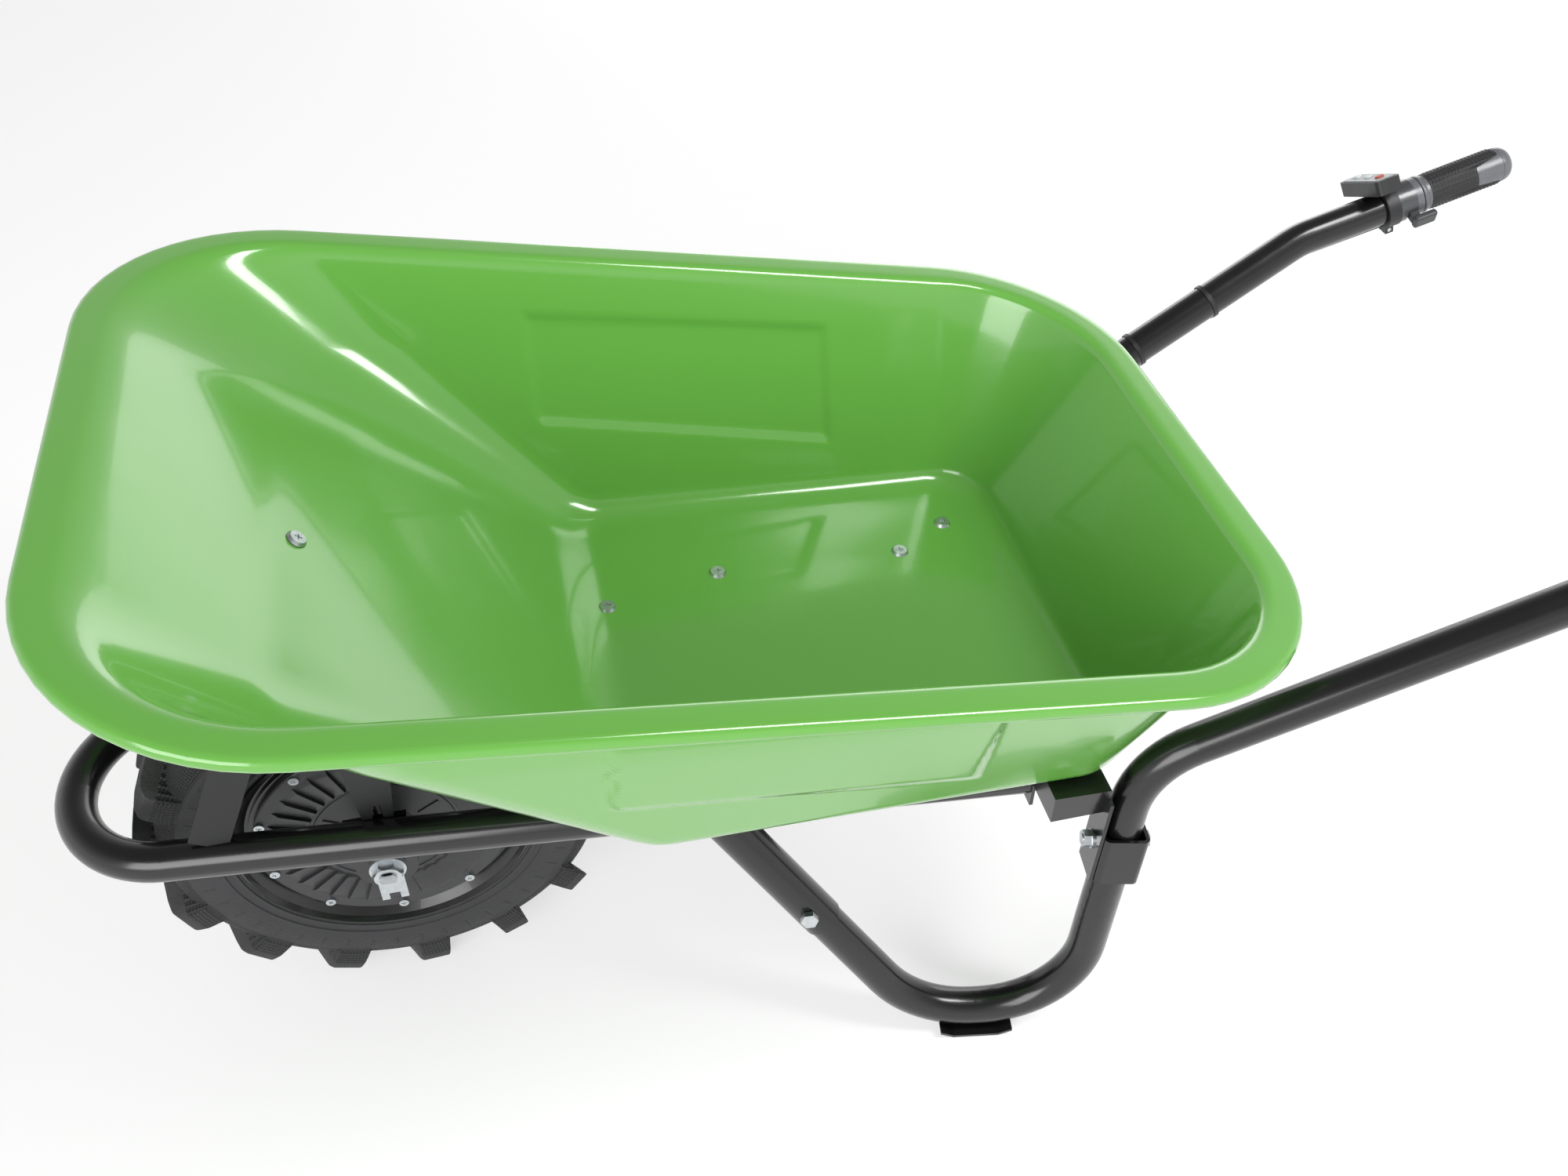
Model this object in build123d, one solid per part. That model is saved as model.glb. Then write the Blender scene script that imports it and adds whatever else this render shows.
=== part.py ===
"""Motor-driven wheelbarrow: pressed steel tray, bent tube frame, one hub-motor wheel, two U legs.

Frame: +X towards the handles, +Y to the operator's right, +Z up, millimetres.
The model is laid out with the axle at X = 0, then shifted so that the origin is the
middle of the footprint, on the ground.
"""
import os
from math import atan, cos, degrees, hypot, pi, radians, sin, sqrt, tan

from build123d import *

# ---------------------------------------------------------------- driving sizes
# wheel
TYRE_OD = 400.0
TYRE_HALF_W = 50.0
LUG_COUNT = 15
RIM_LIP_R = 122.0
RIM_LIP_Y = 48.0
BARREL_R = 104.0
BARREL_HALF_W = 40.0
MOTOR_BORE_R = 93.0
COVER_T = 5.0
SCREW_COUNT = 10
RIB_COUNT = 36
AXLE_D = 17.0
AXLE_END_D = 14.0
AXLE_HALF_L = 96.0
AXLE_FLAT = 10.0
BEARING_OD = 40.0
BEARING_W = 12.0
MAGNET_COUNT = 20
TOOTH_COUNT = 18
TOOTH_W = 10.0
COIL_T = 3.6
STATOR_RING_R = 58.0
MAGNET_HALF_W = 22.0
TREAD_H = 16.0
LUG_W = 24.0
LUG_SKEW = 35.0
LUG_SHIFT = 0.0
FLANGE_R = 110.0
BEAD_SEAT_Y = 30.0
BEAD_TOP_Y = 44.0
COVER_R = 106.0
BOSS_R = 26.0
RIB_IN = 62.0
RIB_OUT = 96.0
RIB_H = 3.0
RIB_T = 2.4
SCREW_R = 101.9
SCREW_D = 5.0
SCREW_HEAD_R = 4.2
SCREW_IN = 9.0
SCREW_TURN = -125.1
AXLE_STEP_Y = 58.0
AXLE_NUT_AF = 22.0
AXLE_NUT_H = 10.0
SPACER_R = 12.0
PLATE_HALF_W = 25.0
PLATE_T = 5.0
GUARD_X = 4.0
GUARD_Y = 86.0
GUARD_T = 2.0
GUARD_DEPTH = 14.0
GUARD_LOW_HALF = 11.0
GUARD_TOP_HALF = 30.0
TONGUE_T = 2.0
TONGUE_L = 42.0

# tubes and frame
TUBE_OD = 32.0
TUBE_WALL = 1.8
FRAME_Z = 257.0
ARM_Y0 = 98.0
ARM_SPREAD = 0.10
NOSE_X = -235.0
ARM_END_X = 526.0
STUB_OD = 35.0
STUB_L = 159.0
STUB_GRIP = 60.0
SHEET = 3.0

# tray
TRAY_T = 1.5
RIM_FRONT = (-152.0, 611.0)
RIM_REAR = (710.0, 453.0)
RIM_HALF_FRONT = 298.0
RIM_HALF_REAR = 280.0
RIM_R_FRONT = 160.0
RIM_R_REAR = 150.0
FLANGE_W = 30.0
BEAD_R = 6.0
FLOOR_FRONT = (190.0, 309.5)
FLOOR_REAR = (587.0, 288.7)
FLOOR_HALF_FRONT = 200.0
FLOOR_HALF_REAR = 192.0
FLOOR_R = 42.0
FLOOR_EDGE_INSET = 12.0
FLOOR_EDGE_RISE = 0.045
CREASE_AT = 0.70
CREASE_SAG = 13.0
FLOOR_BOLTS = ((212.0, 67.0), (316.0, 94.5), (488.0, 94.5), (540.0, 127.0))
SLOPE_BOLT_X = -14.0

# handles and legs, left side; the right side is its mirror image
GRIP_Y = 245.0
HANDLE_BEND = (925.0, 481.0)
SHOULDER_X = 1003.0
GRIP_SLOPE = 0.294
BAR_D = 22.2
BAR_L = 122.0
LOWER_BEND = (594.0, 199.2, 306.9)
LEG_REAR_X = 566.0
LEG_FRONT_X = 429.0
LEG_FOOT_Y = 211.0
LEG_FOOT_X = 447.0
LEG_TOE = 0.17
LEG_LEAN = 0.22
STUB_TOP = (262.0, 123.0)
HANDLE_BEND_R = 90.0
LOWER_BEND_R = 82.0
LEG_REAR_R = 88.0
LEG_FRONT_R = 100.0
FOOT_T = 3.0
FOOT_L = 64.0
FOOT_W = 40.0
BRACKET_Z = 216.0
BRACKET_H = 48.0
BRACKET_IN = 22.0
BRACKET_CORNER = 6.0
BRACKET_BOLT_UP = 9.0
TAB_TOP = 62.0
STUB_BOLT_IN = 22.0
FOOT_SHIFT = 16.0
FRONT_CROSS = (196.0, 236.0)
REAR_CROSS = (522.0, 570.0)
REAR_CROSS_HALF = 206.0
REAR_CROSS_STEP = 168.0
REAR_CROSS_END_Z = 264.0
BRACE_X = -124.0
BRACE_KNEE = (-66.0, 60.0, 395.0)
BRACE_TOP_HALF = 38.0
BRACE_W = 30.0
BRACE_T = 4.0

# fits and fasteners
FIT = 0.2
RUN = 0.05
GAP = 0.3
BOLT_D = 8.0
BOLT_HOLE_D = BOLT_D + 2 * FIT
HEX_AF = 13.0

# battery box
BOX_X0 = 256.0
BOX_X1 = 500.0
BOX_HALF_W = 82.0
BOX_Z0 = 170.0
BOX_WALL = 3.0
BOX_FLANGE_HALF = 106.0
BOX_FLOOR_Z = BOX_Z0 + BOX_WALL
DOOR_OPEN_HALF = 74.0
DOOR_OPEN_TOP = 228.0
DOOR_HALF = 79.0
DOOR_TOP = 233.0
DOOR_PIN = (504.5, 87.0)
SHELF_Z = 232.0
GLAND_X = 466.0
GLAND_Z = 240.0
SWITCH_X = 455.0
SWITCH_Z = 248.0
DOOR_T = 3.5
HINGE_PIN_D = 4.0

# controls
POD_TILT = 29.0
POD_W = 78.0
POD_L = 24.0
POD_L_LOW = -14.0
POD_TOP = 32.5
POD_T = 15.0
BUTTON_R = 4.0
BUTTON_TRAVEL = 1.2
CLAMP_R = 20.0
THROTTLE_R = 19.0
LEVER_ANGLE = 200.0
GRIP_R = 17.5
GRIP_DOME = 8.0
CABLE_OFFSET = 18.85
TIE_W = 4.0
TIE_T = 1.2
TIE_AT = (0.12, 0.42, 0.72)
CABLE_D = 5.0
MOTOR_CABLE_D = 8.0

# ---------------------------------------------------------------- worked-out sizes
AXLE_Z = TYRE_OD / 2
CROWN_R = TYRE_OD / 2 - TREAD_H
WALL_H = CROWN_R - RIM_LIP_R
TUBE_R = TUBE_OD / 2
BRACKET_X = TUBE_R + FIT + SHEET
BEAD_CENTRE = BEAD_R
ARM_ANGLE = atan(ARM_SPREAD)
FLOOR_DROP = (FLOOR_FRONT[1] - FLOOR_REAR[1]) / (FLOOR_REAR[0] - FLOOR_FRONT[0])
FLOOR_STRETCH = hypot(1.0, FLOOR_DROP)
COVER_FACE = BARREL_HALF_W + COVER_T
PLATE_Y = ARM_Y0 - TUBE_R - 5.0
LEG_Z = FOOT_T + TUBE_R
GRIP_ANGLE = atan(GRIP_SLOPE)
RIM_LENGTH = hypot(RIM_REAR[0] - RIM_FRONT[0], RIM_REAR[1] - RIM_FRONT[1])
RIM_ALONG = ((RIM_REAR[0] - RIM_FRONT[0]) / RIM_LENGTH, (RIM_REAR[1] - RIM_FRONT[1]) / RIM_LENGTH)
OPEN_FRONT = (RIM_FRONT[0] + FLANGE_W * RIM_ALONG[0], RIM_FRONT[1] + FLANGE_W * RIM_ALONG[1])
OPEN_REAR = (RIM_REAR[0] - FLANGE_W * RIM_ALONG[0], RIM_REAR[1] - FLANGE_W * RIM_ALONG[1])
PARTS = {}


def keep(name, *shapes):
    """Store the solids of one node."""
    PARTS[name] = [solid for shape in shapes for solid in shape.solids()]


def mirrored(shape):
    """The same piece on the right side."""
    return mirror(shape, about=Plane.XZ)


def both_sides(name, shape):
    keep(name, shape, mirrored(shape))


def arm_y(x):
    """Distance of a frame arm's centre line from the middle plane."""
    return ARM_Y0 + ARM_SPREAD * x


def floor_z(x):
    """Height of the tray floor's upper face."""
    return under_floor(x) + TRAY_T * FLOOR_STRETCH


def under_floor(x):
    return FLOOR_FRONT[1] - FLOOR_DROP * (x - FLOOR_FRONT[0])


def unit(v):
    return Vector(*v).normalized()


def frame_at(origin, z_dir, x_near):
    """A plane with its normal along z_dir and its x as near as can be to x_near."""
    z_axis = unit(z_dir)
    x_axis = Vector(*x_near) - z_axis * z_axis.dot(Vector(*x_near))
    return Plane(origin=Vector(*origin), x_dir=x_axis.normalized(), z_dir=z_axis)


def bent_rod(points, radii, diameter):
    """A round bar along straight runs joined by arcs."""
    path = FilletPolyline(*points, radius=radii)
    start = Plane(origin=path @ 0, z_dir=path % 0)
    return sweep(start * Circle(diameter / 2), path=path)


def bent_tube(points, radii, outer, wall):
    path = FilletPolyline(*points, radius=radii)
    start = Plane(origin=path @ 0, z_dir=path % 0)
    ring = Circle(outer / 2) - Circle(outer / 2 - wall)
    return sweep(start * ring, path=path)


def rod(plane, radius, low, high):
    """A round bar along the plane's normal, between two heights."""
    return plane.offset(low) * extrude(Circle(radius), high - low)


def ring(plane, inner, outer, low, high):
    return plane.offset(low) * extrude(Circle(outer) - Circle(inner), high - low)


def hexagon(plane, across, low, high):
    shape = RegularPolygon(across / 2, 6, major_radius=False)
    return plane.offset(low) * extrude(shape, high - low)


def block(plane, x, y, z):
    """A box in a plane's own axes, each given as (low, high)."""
    size = Box(x[1] - x[0], y[1] - y[0], z[1] - z[0])
    return plane * (Pos((x[0] + x[1]) / 2, (y[0] + y[1]) / 2, (z[0] + z[1]) / 2) * size)


def turned(profile):
    """Revolve a (radius, axial) outline about the wheel's axis."""
    return Pos(0, 0, AXLE_Z) * revolve(profile, axis=Axis.Y)


def outline(*points):
    return make_face(Polyline(*points, close=True))


def around_axle(shape, count, phase=0.0):
    """Copies of a piece, evenly spaced about the wheel's axis."""
    centre = Pos(0, 0, AXLE_Z)
    return [centre * Rot(0, phase + 360.0 * i / count, 0) * shape for i in range(count)]


# ---------------------------------------------------------------- tray
def lerp(a, b, f):
    return a + (b - a) * f


def rounded_quad(length, half_front, half_rear, r_front, r_rear):
    """A plan outline: front edge at x = 0, rear edge at x = length, rounded corners."""
    corners = [(0, -half_front), (length, -half_rear), (length, half_rear), (0, half_front)]
    face = make_face(Polyline(*corners, close=True))
    face = fillet(face.vertices().sort_by(Axis.X)[:2], r_front)
    return fillet(face.vertices().sort_by(Axis.X)[-2:], r_rear)


def sloped_plane(front, rear):
    along = Vector(rear[0] - front[0], 0, rear[1] - front[1]).normalized()
    return Plane(origin=(front[0], 0, front[1]), x_dir=along, z_dir=Vector(-along.Z, 0, along.X))


def panel_point(low, high, level, sag):
    return (lerp(low[0], high[0], level), lerp(low[1], high[1], level) - sag)


def tray_section(level, inset, sag=0.0, lift=0.0):
    """The tray's outline at a level from 0, the floor, to 1, the opening."""
    front = panel_point(FLOOR_FRONT, OPEN_FRONT, level, sag)
    rear = panel_point(FLOOR_REAR, OPEN_REAR, level, 0.0)
    length = hypot(rear[0] - front[0], rear[1] - front[1])
    face = rounded_quad(
        length - 2 * inset,
        lerp(FLOOR_HALF_FRONT, RIM_HALF_FRONT - FLANGE_W, level) - inset,
        lerp(FLOOR_HALF_REAR, RIM_HALF_REAR - FLANGE_W, level) - inset,
        lerp(FLOOR_R, RIM_R_FRONT - FLANGE_W, level) - inset,
        lerp(FLOOR_R, RIM_R_REAR - FLANGE_W, level) - inset,
    )
    return sloped_plane(front, rear).offset(lift) * (Pos(inset, 0) * face)


def tray_body(inset, lift):
    sections = [
        tray_section(0, FLOOR_EDGE_INSET + inset, lift=lift),
        tray_section(FLOOR_EDGE_RISE, inset, lift=lift),
        tray_section(CREASE_AT, inset, sag=CREASE_SAG),
        tray_section(1, inset),
    ]
    return loft(sections, ruled=True)


def floor_plane(x, y):
    """A plane on the floor's upper face, square to it."""
    return frame_at((x, y, floor_z(x)), (FLOOR_DROP, 0, 1), (1, 0, 0))



def slope_z(x):
    """Height of the front panel's outer face, below the crease."""
    low = panel_point(FLOOR_FRONT, OPEN_FRONT, FLOOR_EDGE_RISE, 0.0)
    high = panel_point(FLOOR_FRONT, OPEN_FRONT, CREASE_AT, CREASE_SAG)
    return low[1] + (low[0] - x) * (high[1] - low[1]) / (low[0] - high[0])


def slope_plane(x):
    """A plane on the front panel's outer face, with its normal into the tray."""
    rise = slope_z(x - 1.0) - slope_z(x)
    return frame_at((x, 0, slope_z(x)), (rise, 0, 1), (0, 1, 0))


def build_tray():
    shell = tray_body(0, 0) - tray_body(TRAY_T, TRAY_T)
    rim = sloped_plane(RIM_FRONT, RIM_REAR)
    plan = rounded_quad(RIM_LENGTH, RIM_HALF_FRONT, RIM_HALF_REAR, RIM_R_FRONT, RIM_R_REAR)
    opening = tray_section(1, TRAY_T)
    flange = extrude(rim * plan, -TRAY_T, dir=rim.z_dir) - extrude(opening, 9 * TRAY_T, dir=rim.z_dir, both=True)
    edge = Pos(BEAD_R, 0) * rounded_quad(
        RIM_LENGTH - 2 * BEAD_R, RIM_HALF_FRONT - BEAD_R, RIM_HALF_REAR - BEAD_R,
        RIM_R_FRONT - BEAD_R, RIM_R_REAR - BEAD_R,
    )
    path = (rim.offset(-BEAD_R) * edge).wire()
    bead = sweep(Plane(origin=path @ 0, z_dir=path % 0) * Circle(BEAD_R), path=path)
    tray = shell + flange + bead
    for x, y in FLOOR_BOLTS:
        for side in (-1, 1):
            tray -= rod(floor_plane(x, side * y), BOLT_HOLE_D / 2, -9 * TRAY_T, 9 * TRAY_T)
    tray -= rod(slope_plane(SLOPE_BOLT_X), BOLT_HOLE_D / 2, -9 * TRAY_T, 9 * TRAY_T)
    keep("tray", tray)


def flat_bolt(plane, grip):
    """A flat cross-recess head with its shank down through a stack of sheets."""
    head = plane * loft([Circle(8.0), Pos(0, 0, 2.6) * Circle(6.2)])
    for turn in (0, 90):
        head -= plane.offset(1.2) * (Rot(0, 0, turn) * extrude(Rectangle(6.0, 1.4), 3))
    return head + rod(plane, BOLT_D / 2, -grip - 9.0, 0.0)


def lock_nut(plane, depth):
    """A washer and a hexagon nut at a depth below a plane, clear of the shank."""
    washer = ring(plane, BOLT_D / 2 + RUN, 8.0, -depth - 1.6, -depth)
    nut = hexagon(plane, HEX_AF, -depth - 8.2, -depth - 1.6) - rod(plane, BOLT_D / 2 + RUN, -depth - 9, -depth)
    return washer + nut


def build_tray_fasteners():
    bolts, nuts = [], []
    for x, y in FLOOR_BOLTS:
        for side in (-1, 1):
            plane = floor_plane(x, side * y)
            bolts.append(flat_bolt(plane, TRAY_T + SHEET))
            nuts.append(lock_nut(plane, TRAY_T + SHEET))
    plane = slope_plane(SLOPE_BOLT_X)
    bolts.append(flat_bolt(plane.offset(TRAY_T), TRAY_T + BRACE_T))
    nuts.append(lock_nut(plane, BRACE_T))
    keep("tray_bolts", *bolts)
    keep("tray_nuts", *nuts)


# ---------------------------------------------------------------- frame
def frame_points():
    end = arm_y(ARM_END_X)
    nose = arm_y(NOSE_X)
    return [(ARM_END_X, -end, FRAME_Z), (NOSE_X, -nose, FRAME_Z), (NOSE_X, nose, FRAME_Z), (ARM_END_X, end, FRAME_Z)]


def nose_radius():
    """The arc that turns from one arm to the other in a single half loop."""
    return 0.995 * arm_y(NOSE_X) * cos(ARM_ANGLE) / (1 - ARM_SPREAD * cos(ARM_ANGLE))


def frame_bar():
    radius = nose_radius()
    return bent_rod(frame_points(), [radius, radius], TUBE_OD)


def channel(x0, x1, half, z_low, top):
    """A folded channel across the frame, open below, its top under the tray floor."""
    outer = outline((x0, z_low), (x1, z_low), (x1, top(x1)), (x0, top(x0)))
    x0, x1, sheet = x0 + SHEET, x1 - SHEET, SHEET * FLOOR_STRETCH
    inner = outline((x0, z_low - SHEET), (x1, z_low - SHEET), (x1, top(x1) - sheet), (x0, top(x0) - sheet))
    return Plane.XZ * Pos(0, 0, -half) * extrude(outer - inner, 2 * half)


def cross_holes(shape, x, y):
    for side in (-1, 1):
        shape -= rod(floor_plane(x, side * y), BOLT_HOLE_D / 2, -3 * SHEET, 3 * SHEET)
    return shape


def build_frame():
    radius = nose_radius()
    loop = bent_tube(frame_points(), [radius, radius], TUBE_OD, TUBE_WALL)
    beyond = block(Plane.XY, (REAR_CROSS[0], 2 * REAR_CROSS[0]), (-FRAME_Z, FRAME_Z), (0, 2 * FRAME_Z))
    keep("frame_loop", loop - beyond)
    front_half = arm_y(FRONT_CROSS[0]) + TUBE_R
    front = channel(*FRONT_CROSS, front_half, FRAME_Z + TUBE_R, under_floor)
    keep("front_cross_member", cross_holes(front, *FLOOR_BOLTS[0]))
    rear = channel(*REAR_CROSS, REAR_CROSS_HALF, FRAME_Z - TUBE_R - SHEET, under_floor)
    for side in (-1, 1):
        y0, y1 = sorted((side * REAR_CROSS_STEP, side * (REAR_CROSS_HALF + 1)))
        rear -= block(Plane.XY, (REAR_CROSS[0] - 1, REAR_CROSS[1] + 1), (y0, y1), (0, REAR_CROSS_END_Z))
        y0, y1 = sorted((side * (REAR_CROSS_HALF - SHEET), side * REAR_CROSS_HALF))
        cap = block(Plane.XY, REAR_CROSS, (y0, y1), (REAR_CROSS_END_Z, floor_z(REAR_CROSS[0])))
        above = outline((REAR_CROSS[0], under_floor(REAR_CROSS[0])), (REAR_CROSS[1], under_floor(REAR_CROSS[1])),
                        (REAR_CROSS[1], FRAME_Z * 2), (REAR_CROSS[0], FRAME_Z * 2))
        rear += cap - Plane.XZ * Pos(0, 0, -FRAME_Z) * extrude(above, 2 * FRAME_Z)
    tab = block(bracket_plane(), (-BRACKET_X - SHEET, -BRACKET_X), (-TUBE_R, TUBE_R), (-BRACKET_H / 2, TAB_TOP))
    tab -= rod(bolt_plane(), BOLT_HOLE_D / 2, -2 * BRACKET_X, 2 * BRACKET_X)
    rear = rear + tab + mirrored(tab)
    keep("rear_cross_member", cross_holes(rear, *FLOOR_BOLTS[3]))


def build_brace():
    """A strap bent over the wheel, from one arm of the loop to the other."""
    foot = (BRACE_X, -arm_y(BRACE_X), FRAME_Z + TUBE_R)
    top = slope_plane(SLOPE_BOLT_X).offset(-BRACE_T / 2)
    shoulder = top * Pos(-BRACE_TOP_HALF, 0, 0)
    knee = (BRACE_KNEE[0], -BRACE_KNEE[1], BRACE_KNEE[2])
    centre = [foot, knee, tuple(shoulder.position)]
    strap = brace_leg(centre)
    cross = block(top, (-BRACE_TOP_HALF - BRACE_T / 2, BRACE_TOP_HALF + BRACE_T / 2),
                  (-BRACE_W / 2, BRACE_W / 2), (-BRACE_T / 2, BRACE_T / 2))
    above = block(slope_plane(SLOPE_BOLT_X), (-FRAME_Z, FRAME_Z), (-FRAME_Z, FRAME_Z), (0, FRAME_Z))
    brace = cross + strap + mirrored(strap) - frame_bar() - above
    brace -= rod(top, BOLT_HOLE_D / 2, -BOLT_D, BOLT_D)
    keep("front_brace", brace)


def brace_leg(points):
    """Flat bars from point to point, each with its width along the barrow."""
    leg = None
    for low, high in zip(points, points[1:]):
        along = Vector(*high) - Vector(*low)
        plane = frame_at(low, along, (1, 0, 0))
        bar = block(plane, (-BRACE_W / 2, BRACE_W / 2), (-BRACE_T / 2, BRACE_T / 2), (-BRACE_T / 4, along.length + BRACE_T / 4))
        leg = bar if leg is None else leg + bar
    return leg


# ---------------------------------------------------------------- handles and legs (left side)
def leg_y(x, z):
    """The left leg's plane, toed out and leaning out towards the ground."""
    return -LEG_FOOT_Y - LEG_TOE * (x - LEG_FOOT_X) + LEG_LEAN * z


def leg_corners():
    rear = Vector(LEG_REAR_X, leg_y(LEG_REAR_X, LEG_Z), LEG_Z)
    front = Vector(LEG_FRONT_X, leg_y(LEG_FRONT_X, LEG_Z), LEG_Z)
    top = Vector(STUB_TOP[0], -STUB_TOP[1], FRAME_Z)
    return rear, front, top


def stub_plane():
    """At the stub's weld on the frame arm, with its normal down the stub."""
    rear, front, top = leg_corners()
    return frame_at(top, front - top, (0, -1, 0))


def bracket_plane():
    """At the middle of the rear bracket, with its normal up the leg and x rearwards."""
    rear, front, top = leg_corners()
    bend = Vector(LOWER_BEND[0], -LOWER_BEND[1], LOWER_BEND[2])
    up = bend - rear
    centre = rear + up * ((BRACKET_Z - rear.Z) / up.Z)
    return frame_at(centre, up, (1, -LEG_TOE, 0))


def bolt_plane():
    """On the bracket bolt's axis, with its normal rearwards."""
    plane = bracket_plane()
    return Plane(origin=plane.from_local_coords((0, 0, BRACKET_BOLT_UP)), x_dir=plane.y_dir, z_dir=plane.x_dir)


def stub_bolt_plane():
    plane = stub_plane()
    centre = plane.from_local_coords((0, 0, STUB_L - STUB_BOLT_IN))
    return frame_at(centre, (LEG_TOE, 1, -LEG_LEAN), tuple(plane.z_dir))


def grip_plane():
    """At the left handle's shoulder, with its normal along the grip."""
    rise = HANDLE_BEND[1] + (SHOULDER_X - HANDLE_BEND[0]) * GRIP_SLOPE
    return frame_at((SHOULDER_X, -GRIP_Y, rise), (1, 0, GRIP_SLOPE), (0, 1, 0))


def handle_points():
    rear, front, top = leg_corners()
    stub = stub_plane()
    end = stub.from_local_coords((0, 0, STUB_L - STUB_GRIP))
    return [
        tuple(grip_plane().origin),
        (HANDLE_BEND[0], -GRIP_Y, HANDLE_BEND[1]),
        (LOWER_BEND[0], -LOWER_BEND[1], LOWER_BEND[2]),
        tuple(rear),
        tuple(front),
        tuple(end),
    ]


def build_handles():
    radii = [HANDLE_BEND_R, LOWER_BEND_R, LEG_REAR_R, LEG_FRONT_R]
    handle = bent_tube(handle_points(), radii, TUBE_OD, TUBE_WALL)
    handle += rod(grip_plane(), TUBE_R, -6.0, 0.0) + ring(grip_plane(), BAR_D / 2 - 2.0, BAR_D / 2, 0.0, BAR_L)
    handle -= rod(bolt_plane(), BOLT_HOLE_D / 2, -TUBE_OD, TUBE_OD)
    handle -= rod(stub_bolt_plane(), BOLT_HOLE_D / 2, -TUBE_OD, TUBE_OD)
    keep("handle_leg_left", handle)
    keep("handle_leg_right", mirrored(handle))


def build_stubs():
    plane = stub_plane()
    stub = rod(plane, STUB_OD / 2, 0, STUB_L) - frame_bar() - rod(plane, TUBE_R + FIT, -TUBE_OD, STUB_L + 1)
    stub -= rod(stub_bolt_plane(), BOLT_HOLE_D / 2, -STUB_OD, STUB_OD)
    both_sides("leg_stubs", stub)
    bolt = hex_bolt(stub_bolt_plane(), -STUB_OD / 2 - 0.6, STUB_OD / 2 + 0.6)
    both_sides("stub_bolts", bolt)
    both_sides("stub_nuts", hex_nut(stub_bolt_plane(), STUB_OD / 2 + 0.6))


def hex_bolt(plane, low, high):
    """Head outside the low face, shank through to past the high face."""
    return hexagon(plane, HEX_AF, low - 5.3, low) + rod(plane, BOLT_D / 2, low, high + 9.0)


def hex_nut(plane, face):
    hole = rod(plane, BOLT_D / 2 + RUN, face - 1, face + 12)
    return ring(plane, BOLT_D / 2 + RUN, 8.0, face, face + 1.6) + (hexagon(plane, HEX_AF, face + 1.6, face + 8.2) - hole)


def build_brackets():
    plane = bracket_plane()
    plan = Rectangle(2 * BRACKET_X, BRACKET_X + BRACKET_IN, align=(Align.CENTER, Align.MIN))
    plan = fillet(plan.vertices().sort_by(Axis.Y)[:2], BRACKET_CORNER)
    hollow = Rectangle(2 * (TUBE_R + FIT), 2 * BRACKET_X + BRACKET_IN, align=(Align.CENTER, Align.MIN))
    hollow = fillet(hollow.vertices().sort_by(Axis.Y)[:2], BRACKET_CORNER - SHEET)
    saddle = Pos(0, -BRACKET_X) * plan - Pos(0, -TUBE_R - FIT) * hollow
    bracket = plane.offset(-BRACKET_H / 2) * extrude(saddle, BRACKET_H)
    bracket -= rod(bolt_plane(), BOLT_HOLE_D / 2, -2 * BRACKET_X, 2 * BRACKET_X)
    both_sides("leg_brackets", bracket)
    flipped = Plane(origin=bolt_plane().origin, x_dir=bolt_plane().x_dir, z_dir=bolt_plane().z_dir * -1)
    both_sides("bracket_bolts", hex_bolt(flipped, -BRACKET_X, BRACKET_X + SHEET))
    both_sides("bracket_nuts", hex_nut(flipped, BRACKET_X + SHEET))


def build_feet():
    middle = (LEG_REAR_X + LEG_FRONT_X) / 2 - FOOT_SHIFT
    plane = frame_at((middle, leg_y(middle, LEG_Z), 0), (0, 0, 1), (1, -LEG_TOE, 0))
    half, rise = FOOT_L / 2, 2 * FOOT_T
    bend = half - 12.0
    side = outline((-half, rise), (-bend, 0), (bend, 0), (half, rise), (half, rise + FOOT_T),
                   (bend, FOOT_T), (-bend, FOOT_T), (-half, rise + FOOT_T))
    plate = plane * (Plane.XZ * Pos(0, 0, -FOOT_W / 2) * extrude(side, FOOT_W))
    both_sides("foot_plates", plate - bent_rod(handle_points()[2:], [LEG_REAR_R, LEG_FRONT_R], TUBE_OD))


# ---------------------------------------------------------------- axle
def axle_plane(side=1):
    """On the wheel's axis, with its normal out to one side."""
    return Plane(origin=(0, 0, AXLE_Z), x_dir=(1, 0, 0), z_dir=(0, side, 0))


def axle_end(low, high, clear=0.0):
    """The flattened axle end, or the hole that keeps it from turning."""
    plane = axle_plane()
    end = rod(plane, AXLE_END_D / 2 + clear, low, high)
    wide = AXLE_END_D + 2 * clear
    flat = AXLE_FLAT / 2 + clear
    return end & block(plane, (-wide, wide), (-flat, flat), (low, high))


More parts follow.
